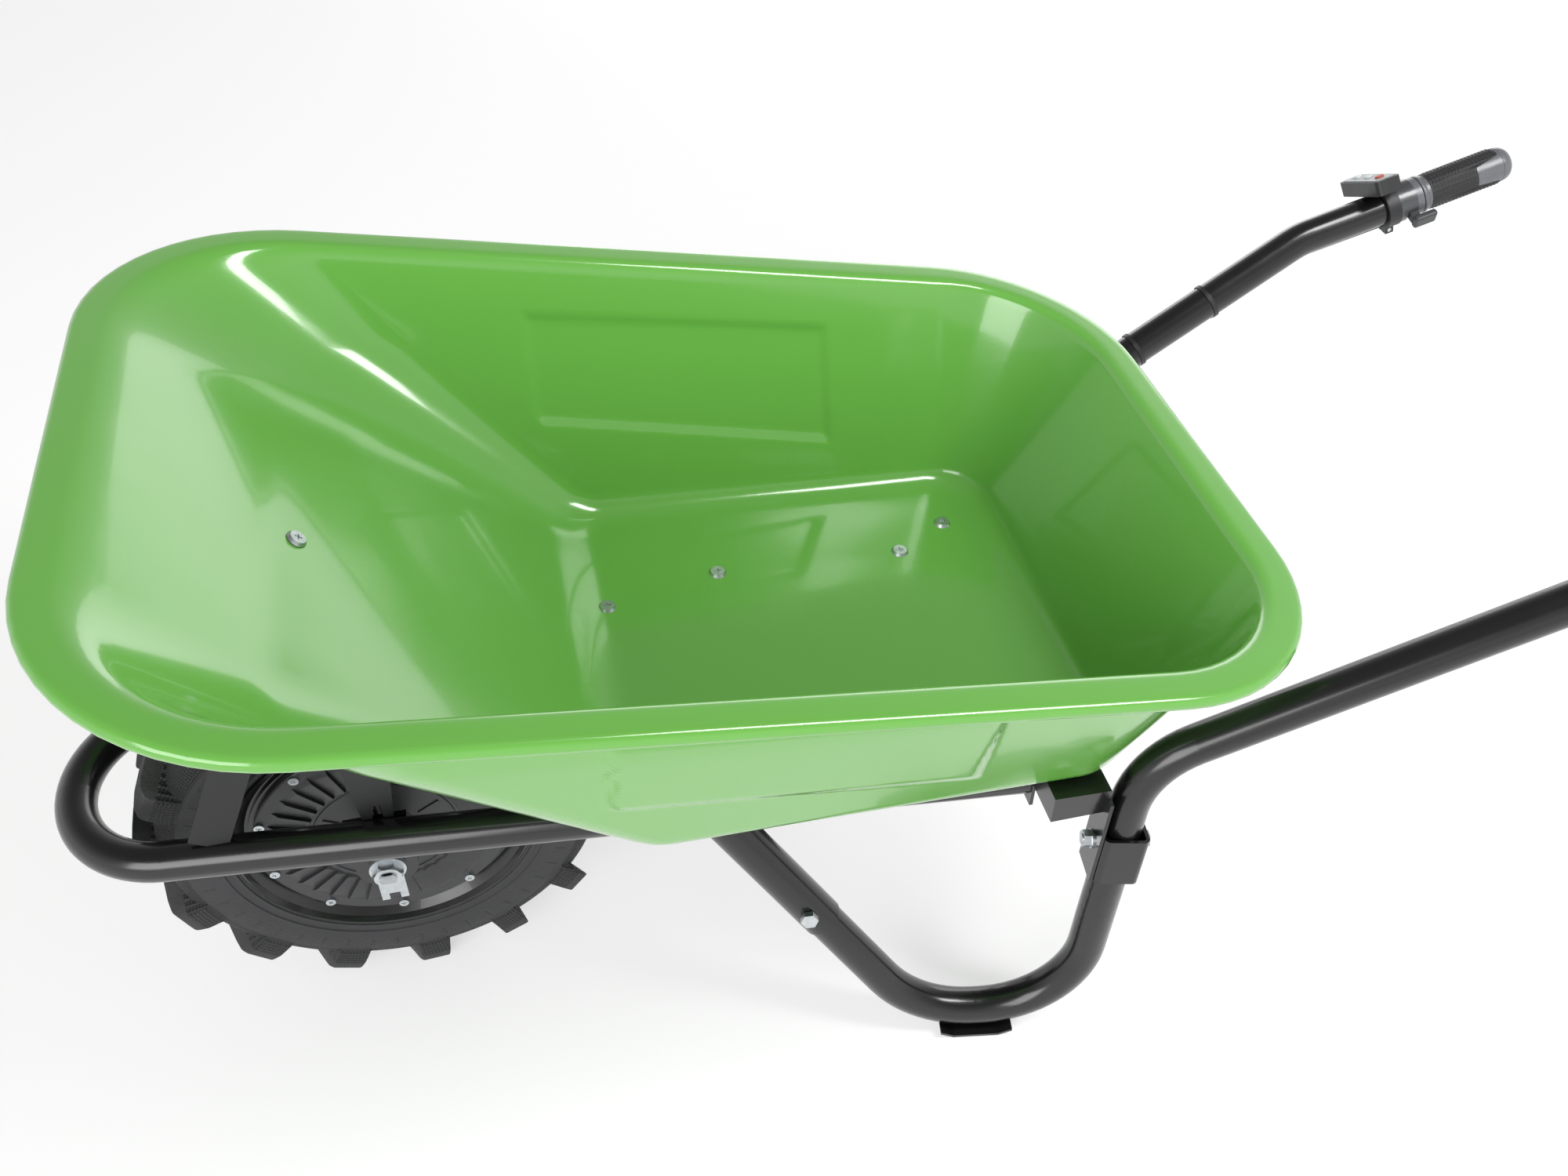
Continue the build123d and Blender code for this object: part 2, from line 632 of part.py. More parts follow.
def build_axle():
    plane = axle_plane()
    middle = rod(plane, AXLE_D / 2, -AXLE_STEP_Y, AXLE_STEP_Y)
    keep("axle", middle + axle_end(-AXLE_HALF_L, AXLE_HALF_L))
    plate = block(Plane.XY, (-PLATE_HALF_W, PLATE_HALF_W), (PLATE_Y, PLATE_Y + PLATE_T), (AXLE_Z, FRAME_Z + PLATE_T))
    plate += rod(plane, PLATE_HALF_W, PLATE_Y, PLATE_Y + PLATE_T)
    weld = block(Plane.XY, (-PLATE_HALF_W, PLATE_HALF_W), (PLATE_Y, ARM_Y0 - 6.0), (FRAME_Z - 18.0, FRAME_Z + PLATE_T))
    plate = (plate + weld - mirrored(frame_bar())).solids().sort_by(SortBy.VOLUME)[-1]
    plate -= axle_end(0, AXLE_HALF_L, RUN)
    both_sides("axle_plates", mirrored(plate))
    spacer = ring(plane, AXLE_END_D / 2 + RUN, SPACER_R, AXLE_STEP_Y, PLATE_Y)
    both_sides("axle_spacers", spacer)
    face = PLATE_Y + PLATE_T
    washer = rod(plane, 15.0, face, face + TONGUE_T)
    tongue = block(plane, (-11.0, 11.0), (0, TONGUE_L), (face, face + TONGUE_T))
    slot = block(plane, (-4.5, 4.5), (TONGUE_L - 8.0, TONGUE_L + 1), (face, face + TONGUE_T))
    washer = washer + tongue - slot - axle_end(0, AXLE_HALF_L, RUN)
    both_sides("torque_washers", washer)
    face += TONGUE_T
    nut = rod(plane, 15.0, face, face + 2.0) + hexagon(plane, AXLE_NUT_AF, face + 2.0, face + AXLE_NUT_H)
    nut &= turned(outline((0, face), (15.0, face), (15.0, face + 2.0), (11.2, face + AXLE_NUT_H), (0, face + AXLE_NUT_H)))
    both_sides("axle_nuts", nut - rod(plane, AXLE_END_D / 2 + RUN, face - 1, face + AXLE_NUT_H + 1))


# ---------------------------------------------------------------- wheel
def both_halves(points):
    """An outline from its half, mirrored across the wheel's middle plane."""
    other = [(radius, -y) for radius, y in reversed(points)]
    return outline(*points, *other)


def build_rim():
    half = [
        (MOTOR_BORE_R, 0.0),
        (MOTOR_BORE_R, BARREL_HALF_W),
        (FLANGE_R, BARREL_HALF_W),
        (FLANGE_R, BARREL_HALF_W - 3.0),
        (FLANGE_R + 3.0, BARREL_HALF_W - 3.0),
        (RIM_LIP_R - 2.5, RIM_LIP_Y - 3.5),
        (RIM_LIP_R, RIM_LIP_Y + 1.0),
        (RIM_LIP_R + 2.0, RIM_LIP_Y),
        (RIM_LIP_R, BEAD_TOP_Y),
        (FLANGE_R + 2.0, BEAD_SEAT_Y),
        (BARREL_R, BEAD_SEAT_Y),
        (BARREL_R, 0.0),
    ]
    rim = turned(outline(*half)) + turned(outline(*[(r, -y) for r, y in half]))
    for hole in around_axle(screw_rod(SCREW_D / 2 + RUN, BARREL_HALF_W - SCREW_IN - 1, COVER_FACE), SCREW_COUNT, SCREW_TURN):
        rim -= hole
        rim -= mirrored(hole)
    keep("wheel_rim", rim)


def screw_rod(radius, low, high):
    """A round bar on the screw circle, along the wheel's axis, at angle zero."""
    plane = Plane(origin=(SCREW_R, 0, 0), x_dir=(1, 0, 0), z_dir=(0, 1, 0))
    return rod(plane, radius, low, high)


def build_tyre():
    outer = [
        (BARREL_R, BEAD_SEAT_Y),
        (FLANGE_R + 2.0, BEAD_SEAT_Y),
        (RIM_LIP_R, BEAD_TOP_Y),
        (RIM_LIP_R + 4.0, RIM_LIP_Y - 0.5),
        (RIM_LIP_R + WALL_H * 16 / 62, TYRE_HALF_W - 0.6),
        (RIM_LIP_R + WALL_H * 28 / 62, TYRE_HALF_W),
        (RIM_LIP_R + WALL_H * 42 / 62, TYRE_HALF_W - 1.6),
        (CROWN_R - 8.0, TYRE_HALF_W - 6.0),
        (CROWN_R - 2.0, TYRE_HALF_W - 15.0),
        (CROWN_R, TYRE_HALF_W - 30.0),
        (CROWN_R, 0.0),
    ]
    inner = [
        (CROWN_R - 8.0, 0.0),
        (CROWN_R - 8.0, TYRE_HALF_W - 31.0),
        (CROWN_R - 12.0, TYRE_HALF_W - 14.0),
        (RIM_LIP_R + WALL_H * 40 / 62, TYRE_HALF_W - 7.5),
        (RIM_LIP_R + WALL_H * 28 / 62, TYRE_HALF_W - 6.0),
        (RIM_LIP_R + 8.0, TYRE_HALF_W - 9.0),
        (RIM_LIP_R - 6.0, BEAD_TOP_Y - 14.0),
        (BARREL_R + 6.0, BEAD_SEAT_Y - 11.0),
        (BARREL_R, BEAD_SEAT_Y - 13.0),
    ]
    half = outer + inner
    tyre = turned(outline(*half)) + turned(outline(*[(r, -y) for r, y in half]))
    top = TYRE_OD / 2
    reach = outline(
        (CROWN_R - 4.0, 2.0),
        (top - 0.6, 2.0),
        (top, TYRE_HALF_W - 24.0),
        (top - 3.0, TYRE_HALF_W - 5.0),
        (top - 9.0, TYRE_HALF_W),
        (RIM_LIP_R + WALL_H * 34 / 62, TYRE_HALF_W),
        (RIM_LIP_R + WALL_H * 34 / 62, TYRE_HALF_W - 6.0),
        (CROWN_R - 8.0, TYRE_HALF_W - 10.0),
    )
    reach = turned(reach)
    for side in (-1, 1):
        bar = Pos(LUG_SHIFT, 28.0, 0) * Rot(0, 0, LUG_SKEW) * block(
            Plane.XY, (-LUG_W / 2, LUG_W / 2), (-44.0, 44.0), (CROWN_R - 36.0, top + 2.0)
        )
        lug = (Pos(0, 0, AXLE_Z) * bar) & reach
        if side < 0:
            lug = mirrored(lug)
        lug = Pos(0, 0, -AXLE_Z) * lug
        phase = 180.0 / LUG_COUNT if side < 0 else 0.0
        tyre += around_axle(lug, LUG_COUNT, phase)
    keep("tyre", tyre)


def build_hub():
    plane = axle_plane()
    cover = turned(outline(
        (BEARING_OD / 2, BARREL_HALF_W - 7.0),
        (BEARING_OD / 2, COVER_FACE),
        (AXLE_D / 2 + 1.0, COVER_FACE),
        (AXLE_D / 2 + 1.0, TYRE_HALF_W),
        (BOSS_R, TYRE_HALF_W),
        (BOSS_R + 3.0, COVER_FACE),
        (COVER_R - 1.0, COVER_FACE),
        (COVER_R, COVER_FACE - 1.0),
        (COVER_R, BARREL_HALF_W),
        (BOSS_R, BARREL_HALF_W),
        (BOSS_R, BARREL_HALF_W - 7.0),
    ))
    rib = block(Plane.XY, (RIB_IN, RIB_OUT), (COVER_FACE - 0.5, COVER_FACE + RIB_H), (-RIB_T / 2, RIB_T / 2))
    cover += around_axle(rib, RIB_COUNT, 180.0 / RIB_COUNT)
    for hole in around_axle(screw_rod(SCREW_D / 2 + RUN, BARREL_HALF_W - 1, COVER_FACE + 1), SCREW_COUNT, SCREW_TURN):
        cover -= hole
    keep("hub_cover_right", cover)
    keep("hub_cover_left", mirrored(cover))
    screw = screw_rod(SCREW_D / 2, BARREL_HALF_W - SCREW_IN, COVER_FACE) + screw_rod(SCREW_HEAD_R, COVER_FACE, COVER_FACE + 2.2)
    plane = Plane(origin=(SCREW_R, COVER_FACE + 1.2, 0), x_dir=(1, 0, 0), z_dir=(0, 1, 0))
    for turn in (0, 90):
        screw -= plane * (Rot(0, 0, turn) * extrude(Rectangle(4.6, 1.1), 2))
    screws = around_axle(screw, SCREW_COUNT, SCREW_TURN)
    keep("cover_screws", *screws, *[mirrored(piece) for piece in screws])
    bearing = ring(axle_plane(), AXLE_D / 2 + RUN, BEARING_OD / 2, COVER_FACE - BEARING_W, COVER_FACE)
    both_sides("wheel_bearings", bearing)
    half = MAGNET_HALF_W
    magnet = block(Plane.XY, (MOTOR_BORE_R - 4.0, MOTOR_BORE_R + 4.0), (-half, half), (-12.5, 12.5))
    magnet &= rod(Plane.XZ, MOTOR_BORE_R, -half, half) - rod(Plane.XZ, MOTOR_BORE_R - 3.7, -half, half)
    keep("rotor_magnets", *around_axle(magnet, MAGNET_COUNT))


def build_stator():
    half = MAGNET_HALF_W - 2.0
    root, tip = STATOR_RING_R, MOTOR_BORE_R - 5.0
    tooth = block(Plane.XY, (root - 2.0, tip - 2.0), (-half, half), (-TOOTH_W / 2, TOOTH_W / 2))
    tooth += block(Plane.XY, (tip - 4.0, tip + 2.0), (-half, half), (-12.0, 12.0))
    tooth &= rod(Plane.XZ, tip, -half, half)
    plane = axle_plane()
    core = ring(plane, root - 8.0, root, -half, half) + ring(plane, AXLE_D / 2, root - 7.0, -4.0, 4.0)
    for x, y, z in [tuple(piece.center()) for piece in around_axle(Pos(root * 0.58, 0, 0) * Box(1, 1, 1), 6)]:
        core -= rod(Plane(origin=(x, 0, z), z_dir=(0, 1, 0)), 8.0, -5.0, 5.0)
    core += around_axle(tooth, TOOTH_COUNT)
    keep("stator_core", core)
    low, high = root + 2.0, tip - 7.0
    coil = block(Plane.XY, (low, high), (-half - COIL_T, half + COIL_T), (-TOOTH_W / 2 - COIL_T, TOOTH_W / 2 + COIL_T))
    coil -= block(Plane.XY, (low - 1, high + 1), (-half, half), (-TOOTH_W / 2, TOOTH_W / 2))
    keep("stator_windings", *around_axle(coil, TOOTH_COUNT))


# ---------------------------------------------------------------- motor cable and its guard (left side)
def build_guard():
    """A tapered channel from the frame arm up to the tray, open towards the wheel."""
    low, high = FRAME_Z, FRAME_Z * 2
    spread = (GUARD_TOP_HALF - GUARD_LOW_HALF) * (high - low) / 195.0
    face = Plane(origin=(GUARD_X, -GUARD_Y, 0), x_dir=(1, 0, 0), z_dir=(0, 1, 0))
    shell = None
    for sign, thick in ((1, 0.0), (-1, GUARD_T)):
        points = [
            (GUARD_X - GUARD_LOW_HALF + thick, low - thick),
            (GUARD_X + GUARD_LOW_HALF - thick, low - thick),
            (GUARD_X + GUARD_LOW_HALF + spread - thick, high + thick),
            (GUARD_X - GUARD_LOW_HALF - spread + thick, high + thick),
        ]
        body = Plane.XZ.offset(GUARD_Y - thick) * extrude(outline(*points), -GUARD_DEPTH - thick)
        shell = body if sign > 0 else shell - body
    below = block(Plane.XY, (-FRAME_Z, FRAME_Z), (-FRAME_Z, 0), (0, FRAME_Z + PLATE_T))
    panel = slope_plane(GUARD_X)
    above = block(panel, (-FRAME_Z, FRAME_Z), (-FRAME_Z, FRAME_Z), (0, FRAME_Z))
    notch = block(Plane.XY, (GUARD_X - 4, GUARD_X + 4), (-GUARD_Y - 9, -GUARD_Y + GUARD_T + 1), (FRAME_Z, FRAME_Z + 26.0))
    guard = shell - below - above - frame_bar() - notch
    keep("cable_guard", guard.solids().sort_by(SortBy.VOLUME)[-1])
    cable = bent_rod(motor_cable_points(), [14.0, 14.0, 14.0, 20.0, 20.0, 16.0], MOTOR_CABLE_D)
    keep("motor_cable", cable)


def motor_cable_points():
    return [
        (0, -67.5, AXLE_Z + SPACER_R),
        (0, -67.5, 262.0),
        (GUARD_X, -76.5, 300.0),
        (GUARD_X, -76.5, 404.0),
        (26.0, -60.0, 434.0),
        (172.0, -64.0, 300.0),
        (200.0, -50.0, GLAND_Z),
        (BOX_X0 - 10.0, -50.0, GLAND_Z),
    ]


# ---------------------------------------------------------------- battery box
def under_floor_block(x, y, z_low):
    """A block up to the tray floor's underside."""
    side = outline((x[0], z_low), (x[1], z_low), (x[1], under_floor(x[1])), (x[0], under_floor(x[0])))
    return Plane.XZ * Pos(0, 0, -y[1]) * extrude(side, y[1] - y[0])


def build_box():
    body = under_floor_block((BOX_X0, BOX_X1), (-BOX_HALF_W, BOX_HALF_W), BOX_Z0)
    flange = under_floor_block((BOX_X0, BOX_X1), (-BOX_FLANGE_HALF, BOX_FLANGE_HALF), BOX_Z0)
    flange -= Pos(0, 0, -SHEET * FLOOR_STRETCH) * under_floor_block(
        (BOX_X0 - 1, BOX_X1 + 1), (-BOX_FLANGE_HALF - 1, BOX_FLANGE_HALF + 1), BOX_Z0 - 1
    )
    inside_x = (BOX_X0 + BOX_WALL, BOX_X1 - BOX_WALL)
    inside_y = (-BOX_HALF_W + BOX_WALL, BOX_HALF_W - BOX_WALL)
    box = body + flange - Pos(0, 0, 1) * under_floor_block(inside_x, inside_y, BOX_FLOOR_Z - 1)
    box -= block(Plane.XY, (BOX_X1 - BOX_WALL - 1, BOX_X1 + 1), (-DOOR_OPEN_HALF, DOOR_OPEN_HALF), (BOX_FLOOR_Z, DOOR_OPEN_TOP))
    box += block(Plane.XY, (inside_x[0], SWITCH_X - 28.0), inside_y, (SHELF_Z, SHELF_Z + BOX_WALL))
    side = Plane(origin=(GLAND_X, BOX_HALF_W, GLAND_Z), x_dir=(1, 0, 0), z_dir=(0, 1, 0))
    box += rod(side, 6.0, 0, 8.0)
    front = Plane(origin=(BOX_X0, -50.0, GLAND_Z), x_dir=(0, 1, 0), z_dir=(-1, 0, 0))
    box += rod(front, 8.0, 0, 10.0)
    for x, y in FLOOR_BOLTS[1:3]:
        box = cross_holes(box, x, y)
    box -= block(switch_plane(), (-14.5, 14.5), (-10.5, 10.5), (-BOX_WALL - 1, 1))
    pin = Plane(origin=(*DOOR_PIN, 0), z_dir=(0, 0, 1))
    knuckle = rod(pin, HINGE_PIN_D / 2 + 2.5, 0, 10.0)
    arm = block(Plane.XY, (BOX_X1 - 12.0, DOOR_PIN[0]), (BOX_HALF_W, DOOR_PIN[1]), (0, 10.0))
    for z in (BOX_Z0 + 2.0, DOOR_TOP - 12.0):
        box += Pos(0, 0, z) * (knuckle + arm)
    box -= rod(pin, HINGE_PIN_D / 2, BOX_Z0, DOOR_TOP)
    keep("battery_box", box)
    keep("box_hinge_pin", rod(pin, HINGE_PIN_D / 2, BOX_Z0 + 2.0, DOOR_TOP - 2.0))
    door_x = (BOX_X1 + GAP, BOX_X1 + GAP + DOOR_T)
    door = block(Plane.XY, door_x, (-DOOR_HALF, DOOR_HALF), (BOX_Z0 + 2.0, DOOR_TOP - 2.0))
    low, high = BOX_Z0 + 12.0 + GAP, DOOR_TOP - 12.0 - GAP
    door += block(Plane.XY, door_x, (DOOR_HALF - 1, DOOR_PIN[1]), (low, high))
    door += rod(pin, HINGE_PIN_D / 2 + 2.5, low, high)
    door -= rod(pin, HINGE_PIN_D / 2 + RUN, BOX_Z0, DOOR_TOP)
    door += block(Plane.XY, (door_x[0] - 3.5, door_x[0]), (-DOOR_OPEN_HALF + 2, -DOOR_OPEN_HALF + 6), (190.0, 212.0))
    pull = block(Plane.XY, (door_x[1], door_x[1] + 9.0), (-DOOR_HALF + 4, -DOOR_HALF + 8), (184.0, 218.0))
    keep("box_door", door + pull)
    keep("battery_dock", block(Plane.XY, (inside_x[0], 288.0), (-70.0, 70.0), (BOX_FLOOR_Z, 224.0)))
    pack = block(Plane.XY, (288.0, 470.0), (3.0, 73.0), (BOX_FLOOR_Z, 226.0))
    pack = fillet(pack.edges().filter_by(Axis.X), 5.0)
    both_sides("battery_packs", pack)
    fins = [Plane.XY * Pos(340, y, SHELF_Z + 31) * Box(130, 3, 12) for y in range(-42, 43, 12)]
    controller = block(Plane.XY, (275.0, 405.0), (-45.0, 45.0), (SHELF_Z + BOX_WALL, SHELF_Z + 26.0))
    for fin in fins:
        controller += fin
    keep("motor_controller", controller)
    build_switch()


def switch_plane():
    """On the box's left wall, facing out, with y up."""
    return Plane(origin=(SWITCH_X, -BOX_HALF_W, SWITCH_Z), x_dir=(1, 0, 0), z_dir=(0, -1, 0))


def build_switch():
    plane = switch_plane()
    frame = block(plane, (-14.5, 14.5), (-10.5, 10.5), (-14.0, 0)) + block(plane, (-16.5, 16.5), (-12.5, 12.5), (0, 2.0))
    frame -= block(plane, (-13.0, 13.0), (-9.0, 9.0), (-12.5, 3.0))
    pin = Plane(origin=plane.from_local_coords((0, 0, -5.0)), x_dir=(1, 0, 0), z_dir=(0, 0, 1))
    frame -= rod(pin, 1.5 + RUN, -10.6, 10.6)
    keep("power_switch_frame", frame)
    rocker = outline((-11.5, 4.6), (0, 2.2), (11.5, 4.6), (11.2, -2.0), (5.0, -8.0), (-5.0, -8.0), (-11.2, -2.0))
    body = plane * (Plane.XZ * Pos(0, 0, -8.5) * extrude(rocker, 17.0))
    keep("power_rocker", body + rod(pin, 1.5, -10.3, 10.3))


# ---------------------------------------------------------------- grips and controls (right side)
def right_grip():
    plane = grip_plane()
    origin = (plane.origin.X, -plane.origin.Y, plane.origin.Z)
    return Plane(origin=origin, x_dir=plane.x_dir, z_dir=plane.z_dir)


def revolved(plane, *points):
    """Revolve a (radius, height) outline about a plane's normal."""
    return plane * revolve(Plane.XZ * outline(*points), axis=Axis.Z)


def build_grip(name, plane, start, pad_start):
    end = BAR_L + GRIP_DOME
    core_r = GRIP_R - 1.0
    bore = BAR_D / 2
    core = revolved(plane, (bore, start), (core_r + 1.5, start), (core_r + 1.5, start + 3), (core_r, start + 4),
                    (core_r, end - 9), (core_r - 2.5, end - 3.5), (core_r - 8, end), (0, end), (0, BAR_L), (bore, BAR_L))
    pad = ring(plane, core_r, GRIP_R, pad_start, end - 12.0)
    pad -= block(plane, (-GRIP_R, GRIP_R), (-GRIP_R - 1, -9.0), (0, end))
    keep(f"grip_core_{name}", core)
    keep(f"grip_pad_{name}", pad)


def pod_plane():
    """The control pod's own axes: y out of its face, z along the handle bar."""
    return Plane(right_grip().location * Rot(0, 0, -POD_TILT))


def button_spots():
    return {"up": -22.0, "down": 0.0, "reverse": 22.0}


def build_controls():
    plane = right_grip()
    tilted = pod_plane()
    bore = BAR_D / 2
    face_y = POD_TOP - 1.0
    pod = block(Plane.XY, (-POD_W / 2, POD_W / 2), (POD_TOP - POD_T, face_y), (POD_L_LOW, POD_L_LOW + POD_L))
    pod = tilted * fillet(pod.edges().filter_by(Axis.Y), 5.0)
    housing = pod + rod(plane, CLAMP_R, 1.0, 13.0)
    housing += block(plane, (-8.0, 8.0), (-26.0, -18.0), (3.0, 11.0))
    housing -= rod(plane, bore, 0.0, 14.0) + rod(plane, TUBE_R + 1.0, POD_L_LOW - 1, 0.0)
    housing -= block(plane, (-0.6, 0.6), (-27.0, -10.0), (0.0, 14.0))
    bolt = Plane(origin=plane.from_local_coords((0, -22.5, 7.0)), x_dir=plane.z_dir, z_dir=plane.x_dir)
    housing -= rod(bolt, 2.0, -9.0, 9.0)
    screw = rod(bolt, 2.0, -8.0, 8.0) + rod(bolt, 3.6, 8.0, 11.0) - hexagon(bolt, 3.0, 9.5, 12.0)
    keep("clamp_screw", screw)
    face = block(Plane.XY, (-POD_W / 2 + 4, POD_W / 2 - 4), (face_y, POD_TOP), (POD_L_LOW + 2, POD_L_LOW + POD_L - 2))
    face = tilted * fillet(face.edges().filter_by(Axis.Y), 4.0)
    middle = POD_L_LOW + POD_L / 2
    for name, x in button_spots().items():
        axis = Plane(origin=tilted.from_local_coords((x, 0, middle)), x_dir=tilted.x_dir, z_dir=tilted.y_dir)
        housing -= rod(axis, BUTTON_R + 1.0 + GAP, POD_TOP - 12.5, POD_TOP)
        face -= rod(axis, BUTTON_R + GAP, 0, POD_TOP + 1)
        button = rod(axis, BUTTON_R, POD_TOP - 6.0, POD_TOP + 1.8)
        button += rod(axis, BUTTON_R + 1.0, POD_TOP - 12.5 + GAP + BUTTON_TRAVEL, face_y - GAP)
        keep(f"button_{name}", button)
    keep("control_housing", housing)
    keep("control_face", face)
    start, end = 13.0, 30.0
    cup = revolved(plane, (bore, start), (THROTTLE_R, start), (THROTTLE_R, end), (THROTTLE_R - 2.0, end),
                   (THROTTLE_R - 2.0, start + 3), (bore, start + 3))
    for turn in (0.0, 12.0, 24.0, 36.0):
        gap = Rot(0, 0, LEVER_ANGLE + turn) * Pos(18, 0, 25.0) * Box(12, 11.6, 10.4)
        cup -= plane * gap
    keep("throttle_housing", cup)
    collar = ring(plane, bore, THROTTLE_R - 1.0, end, end + 7.0)
    keep("throttle_collar", collar)
    wheel = ring(plane, bore + RUN, 15.0, 21.0, 29.5)
    arm = Rot(0, 0, LEVER_ANGLE) * Pos(19.0, 0, 25.0) * Box(12.0, 8.0, 8.0)
    paddle = Rot(0, 0, LEVER_ANGLE) * Pos(27.5, 0, 32.0) * Box(7.0, 14.0, 22.0)
    paddle = fillet(paddle.edges(), 2.5)
    keep("throttle_lever", wheel + plane * (arm + paddle))
    turns = Helix(pitch=1.4, height=2.8, radius=14.0)
    coil = sweep(Plane(origin=turns @ 0, z_dir=turns % 0) * Circle(0.55), path=turns)
    keep("throttle_spring", plane.offset(start + 3 + 0.56) * coil)


def handle_direction(side=1):
    """Unit vector up the straight run of the right handle, and the one below it."""
    run = Vector(HANDLE_BEND[0] - LOWER_BEND[0], GRIP_Y - LOWER_BEND[1], HANDLE_BEND[1] - LOWER_BEND[2]).normalized()
    across = run.cross(Vector(0, 0, 1)).normalized()
    return run, across.cross(run) * -1


def build_control_cable():
    plane = right_grip()
    run, below = handle_direction()
    start = plane.from_local_coords((0, -CABLE_OFFSET, 1.0 - RUN))
    turn = (below + plane.y_dir * -1).normalized()
    turn -= run.cross(below) * turn.dot(run.cross(below))
    bend = Vector(HANDLE_BEND[0], GRIP_Y, HANDLE_BEND[1]) + turn * (CABLE_OFFSET / turn.dot(below))
    foot = Vector(LOWER_BEND[0], LOWER_BEND[1], LOWER_BEND[2])
    leave = foot + run * 62.0 + below * CABLE_OFFSET
    points = [
        tuple(start),
        tuple(bend),
        tuple(leave),
        (612.0, 172.0, 262.0),
        (590.0, 150.0, 226.0),
        (540.0, 122.0, 222.0),
        (GLAND_X + 22.0, 108.0, GLAND_Z - 8.0),
        (GLAND_X, 104.0, GLAND_Z),
        (GLAND_X, BOX_HALF_W + 8.0, GLAND_Z),
    ]
    keep("control_cable", bent_rod(points, [70.0, 30.0, 16.0, 20.0, 20.0, 8.0, 6.0], CABLE_D))
    loop = make_hull([Circle(TUBE_R).edge(), (Pos(0, -CABLE_OFFSET) * Circle(CABLE_D / 2)).edge()])
    band = extrude(offset(loop, TIE_T) - loop, TIE_W)
    ties = []
    length = (Vector(HANDLE_BEND[0], GRIP_Y, HANDLE_BEND[1]) - foot).length
    for part in TIE_AT:
        centre = foot + run * lerp(70.0, length - 30.0, part)
        spot = Plane(origin=centre, x_dir=run.cross(below) * -1, z_dir=run)
        if spot.y_dir.dot(below) > 0:
            spot = Plane(origin=centre, x_dir=run.cross(below), z_dir=run)
        ties.append(spot * band)
    keep("cable_ties", *ties)


def build_handle_ends():
    build_grip("left", grip_plane(), 2.0, 14.0)
    build_grip("right", right_grip(), 38.0, 48.0)
    build_controls()
    build_control_cable()


if __name__ == "__main__":
    os.makedirs("parts", exist_ok=True)
    build_tray()
    build_tray_fasteners()
    build_frame()
    build_brace()
    build_handles()
    build_stubs()
    build_brackets()
    build_feet()
    build_axle()
    build_rim()
    build_tyre()
    build_hub()
    build_stator()
    build_guard()
    build_box()
    build_handle_ends()
    whole = Compound([solid for solids in PARTS.values() for solid in solids]).bounding_box()
    centre_x = (whole.min.X + whole.max.X) / 2
    print("overall", whole.size, "origin at", centre_x)
    for name, solids in PARTS.items():
        export_step(Pos(-centre_x, 0, 0) * Compound(solids), f"parts/{name}.step")
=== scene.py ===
from math import cos, hypot, pi, radians, sin

import bmesh
import bpy
from mathutils import Matrix, Vector


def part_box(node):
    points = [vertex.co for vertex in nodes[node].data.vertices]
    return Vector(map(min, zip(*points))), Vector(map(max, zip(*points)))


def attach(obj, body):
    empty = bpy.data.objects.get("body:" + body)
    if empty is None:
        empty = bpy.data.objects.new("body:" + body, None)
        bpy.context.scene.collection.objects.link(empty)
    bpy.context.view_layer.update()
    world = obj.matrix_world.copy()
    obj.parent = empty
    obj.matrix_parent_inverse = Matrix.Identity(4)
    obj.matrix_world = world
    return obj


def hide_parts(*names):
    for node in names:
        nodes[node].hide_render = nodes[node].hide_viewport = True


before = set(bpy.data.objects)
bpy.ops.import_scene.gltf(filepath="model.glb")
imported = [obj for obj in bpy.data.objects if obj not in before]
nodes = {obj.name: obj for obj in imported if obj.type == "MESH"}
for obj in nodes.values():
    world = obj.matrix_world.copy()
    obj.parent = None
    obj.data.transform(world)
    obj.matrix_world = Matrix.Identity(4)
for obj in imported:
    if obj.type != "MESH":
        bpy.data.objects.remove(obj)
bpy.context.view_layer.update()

scene = bpy.context.scene

# ---- Studio ---------------------------------------------------------------
# A pale sweep of floor under big soft lamps, as in a product studio. The
# camera stands at the front left corner, above the tray, and looks down.


def linear(hex_value):
    """An sRGB hex colour as linear RGBA."""
    parts = [int(hex_value[i:i + 2], 16) / 255 for i in (1, 3, 5)]
    return [p / 12.92 if p <= 0.04045 else ((p + 0.055) / 1.055) ** 2.4 for p in parts] + [1.0]


def add(material, kind, settings=None, **inputs):
    """Adds one node. settings are its properties; inputs are values, or sockets to link, each by
    its input's name, or by its number as n0, n1 and so on."""
    node = material.node_tree.nodes.new(kind)
    for key, value in (settings or {}).items():
        setattr(node, key, value)
    for key, value in inputs.items():
        numbered = key[0] == "n" and key[1:].isdigit()
        socket = node.inputs[int(key[1:]) if numbered else key.replace("_", " ")]
        if isinstance(value, bpy.types.NodeSocket):
            material.node_tree.links.new(value, socket)
        else:
            socket.default_value = value
    return node


def finish(name, colour, roughness, **sockets):
    """A new material with one Principled shader; returns the material and the shader."""
    material = bpy.data.materials.new(name)
    material.use_nodes = True
    shader = material.node_tree.nodes["Principled BSDF"]
    shader.inputs["Base Color"].default_value = linear(colour)
    shader.inputs["Roughness"].default_value = roughness
    for key, value in sockets.items():
        shader.inputs[key.replace("_", " ")].default_value = value
    return material, shader


def join(material, output, socket):
    """Links an output to an input."""
    material.node_tree.links.new(output, socket)


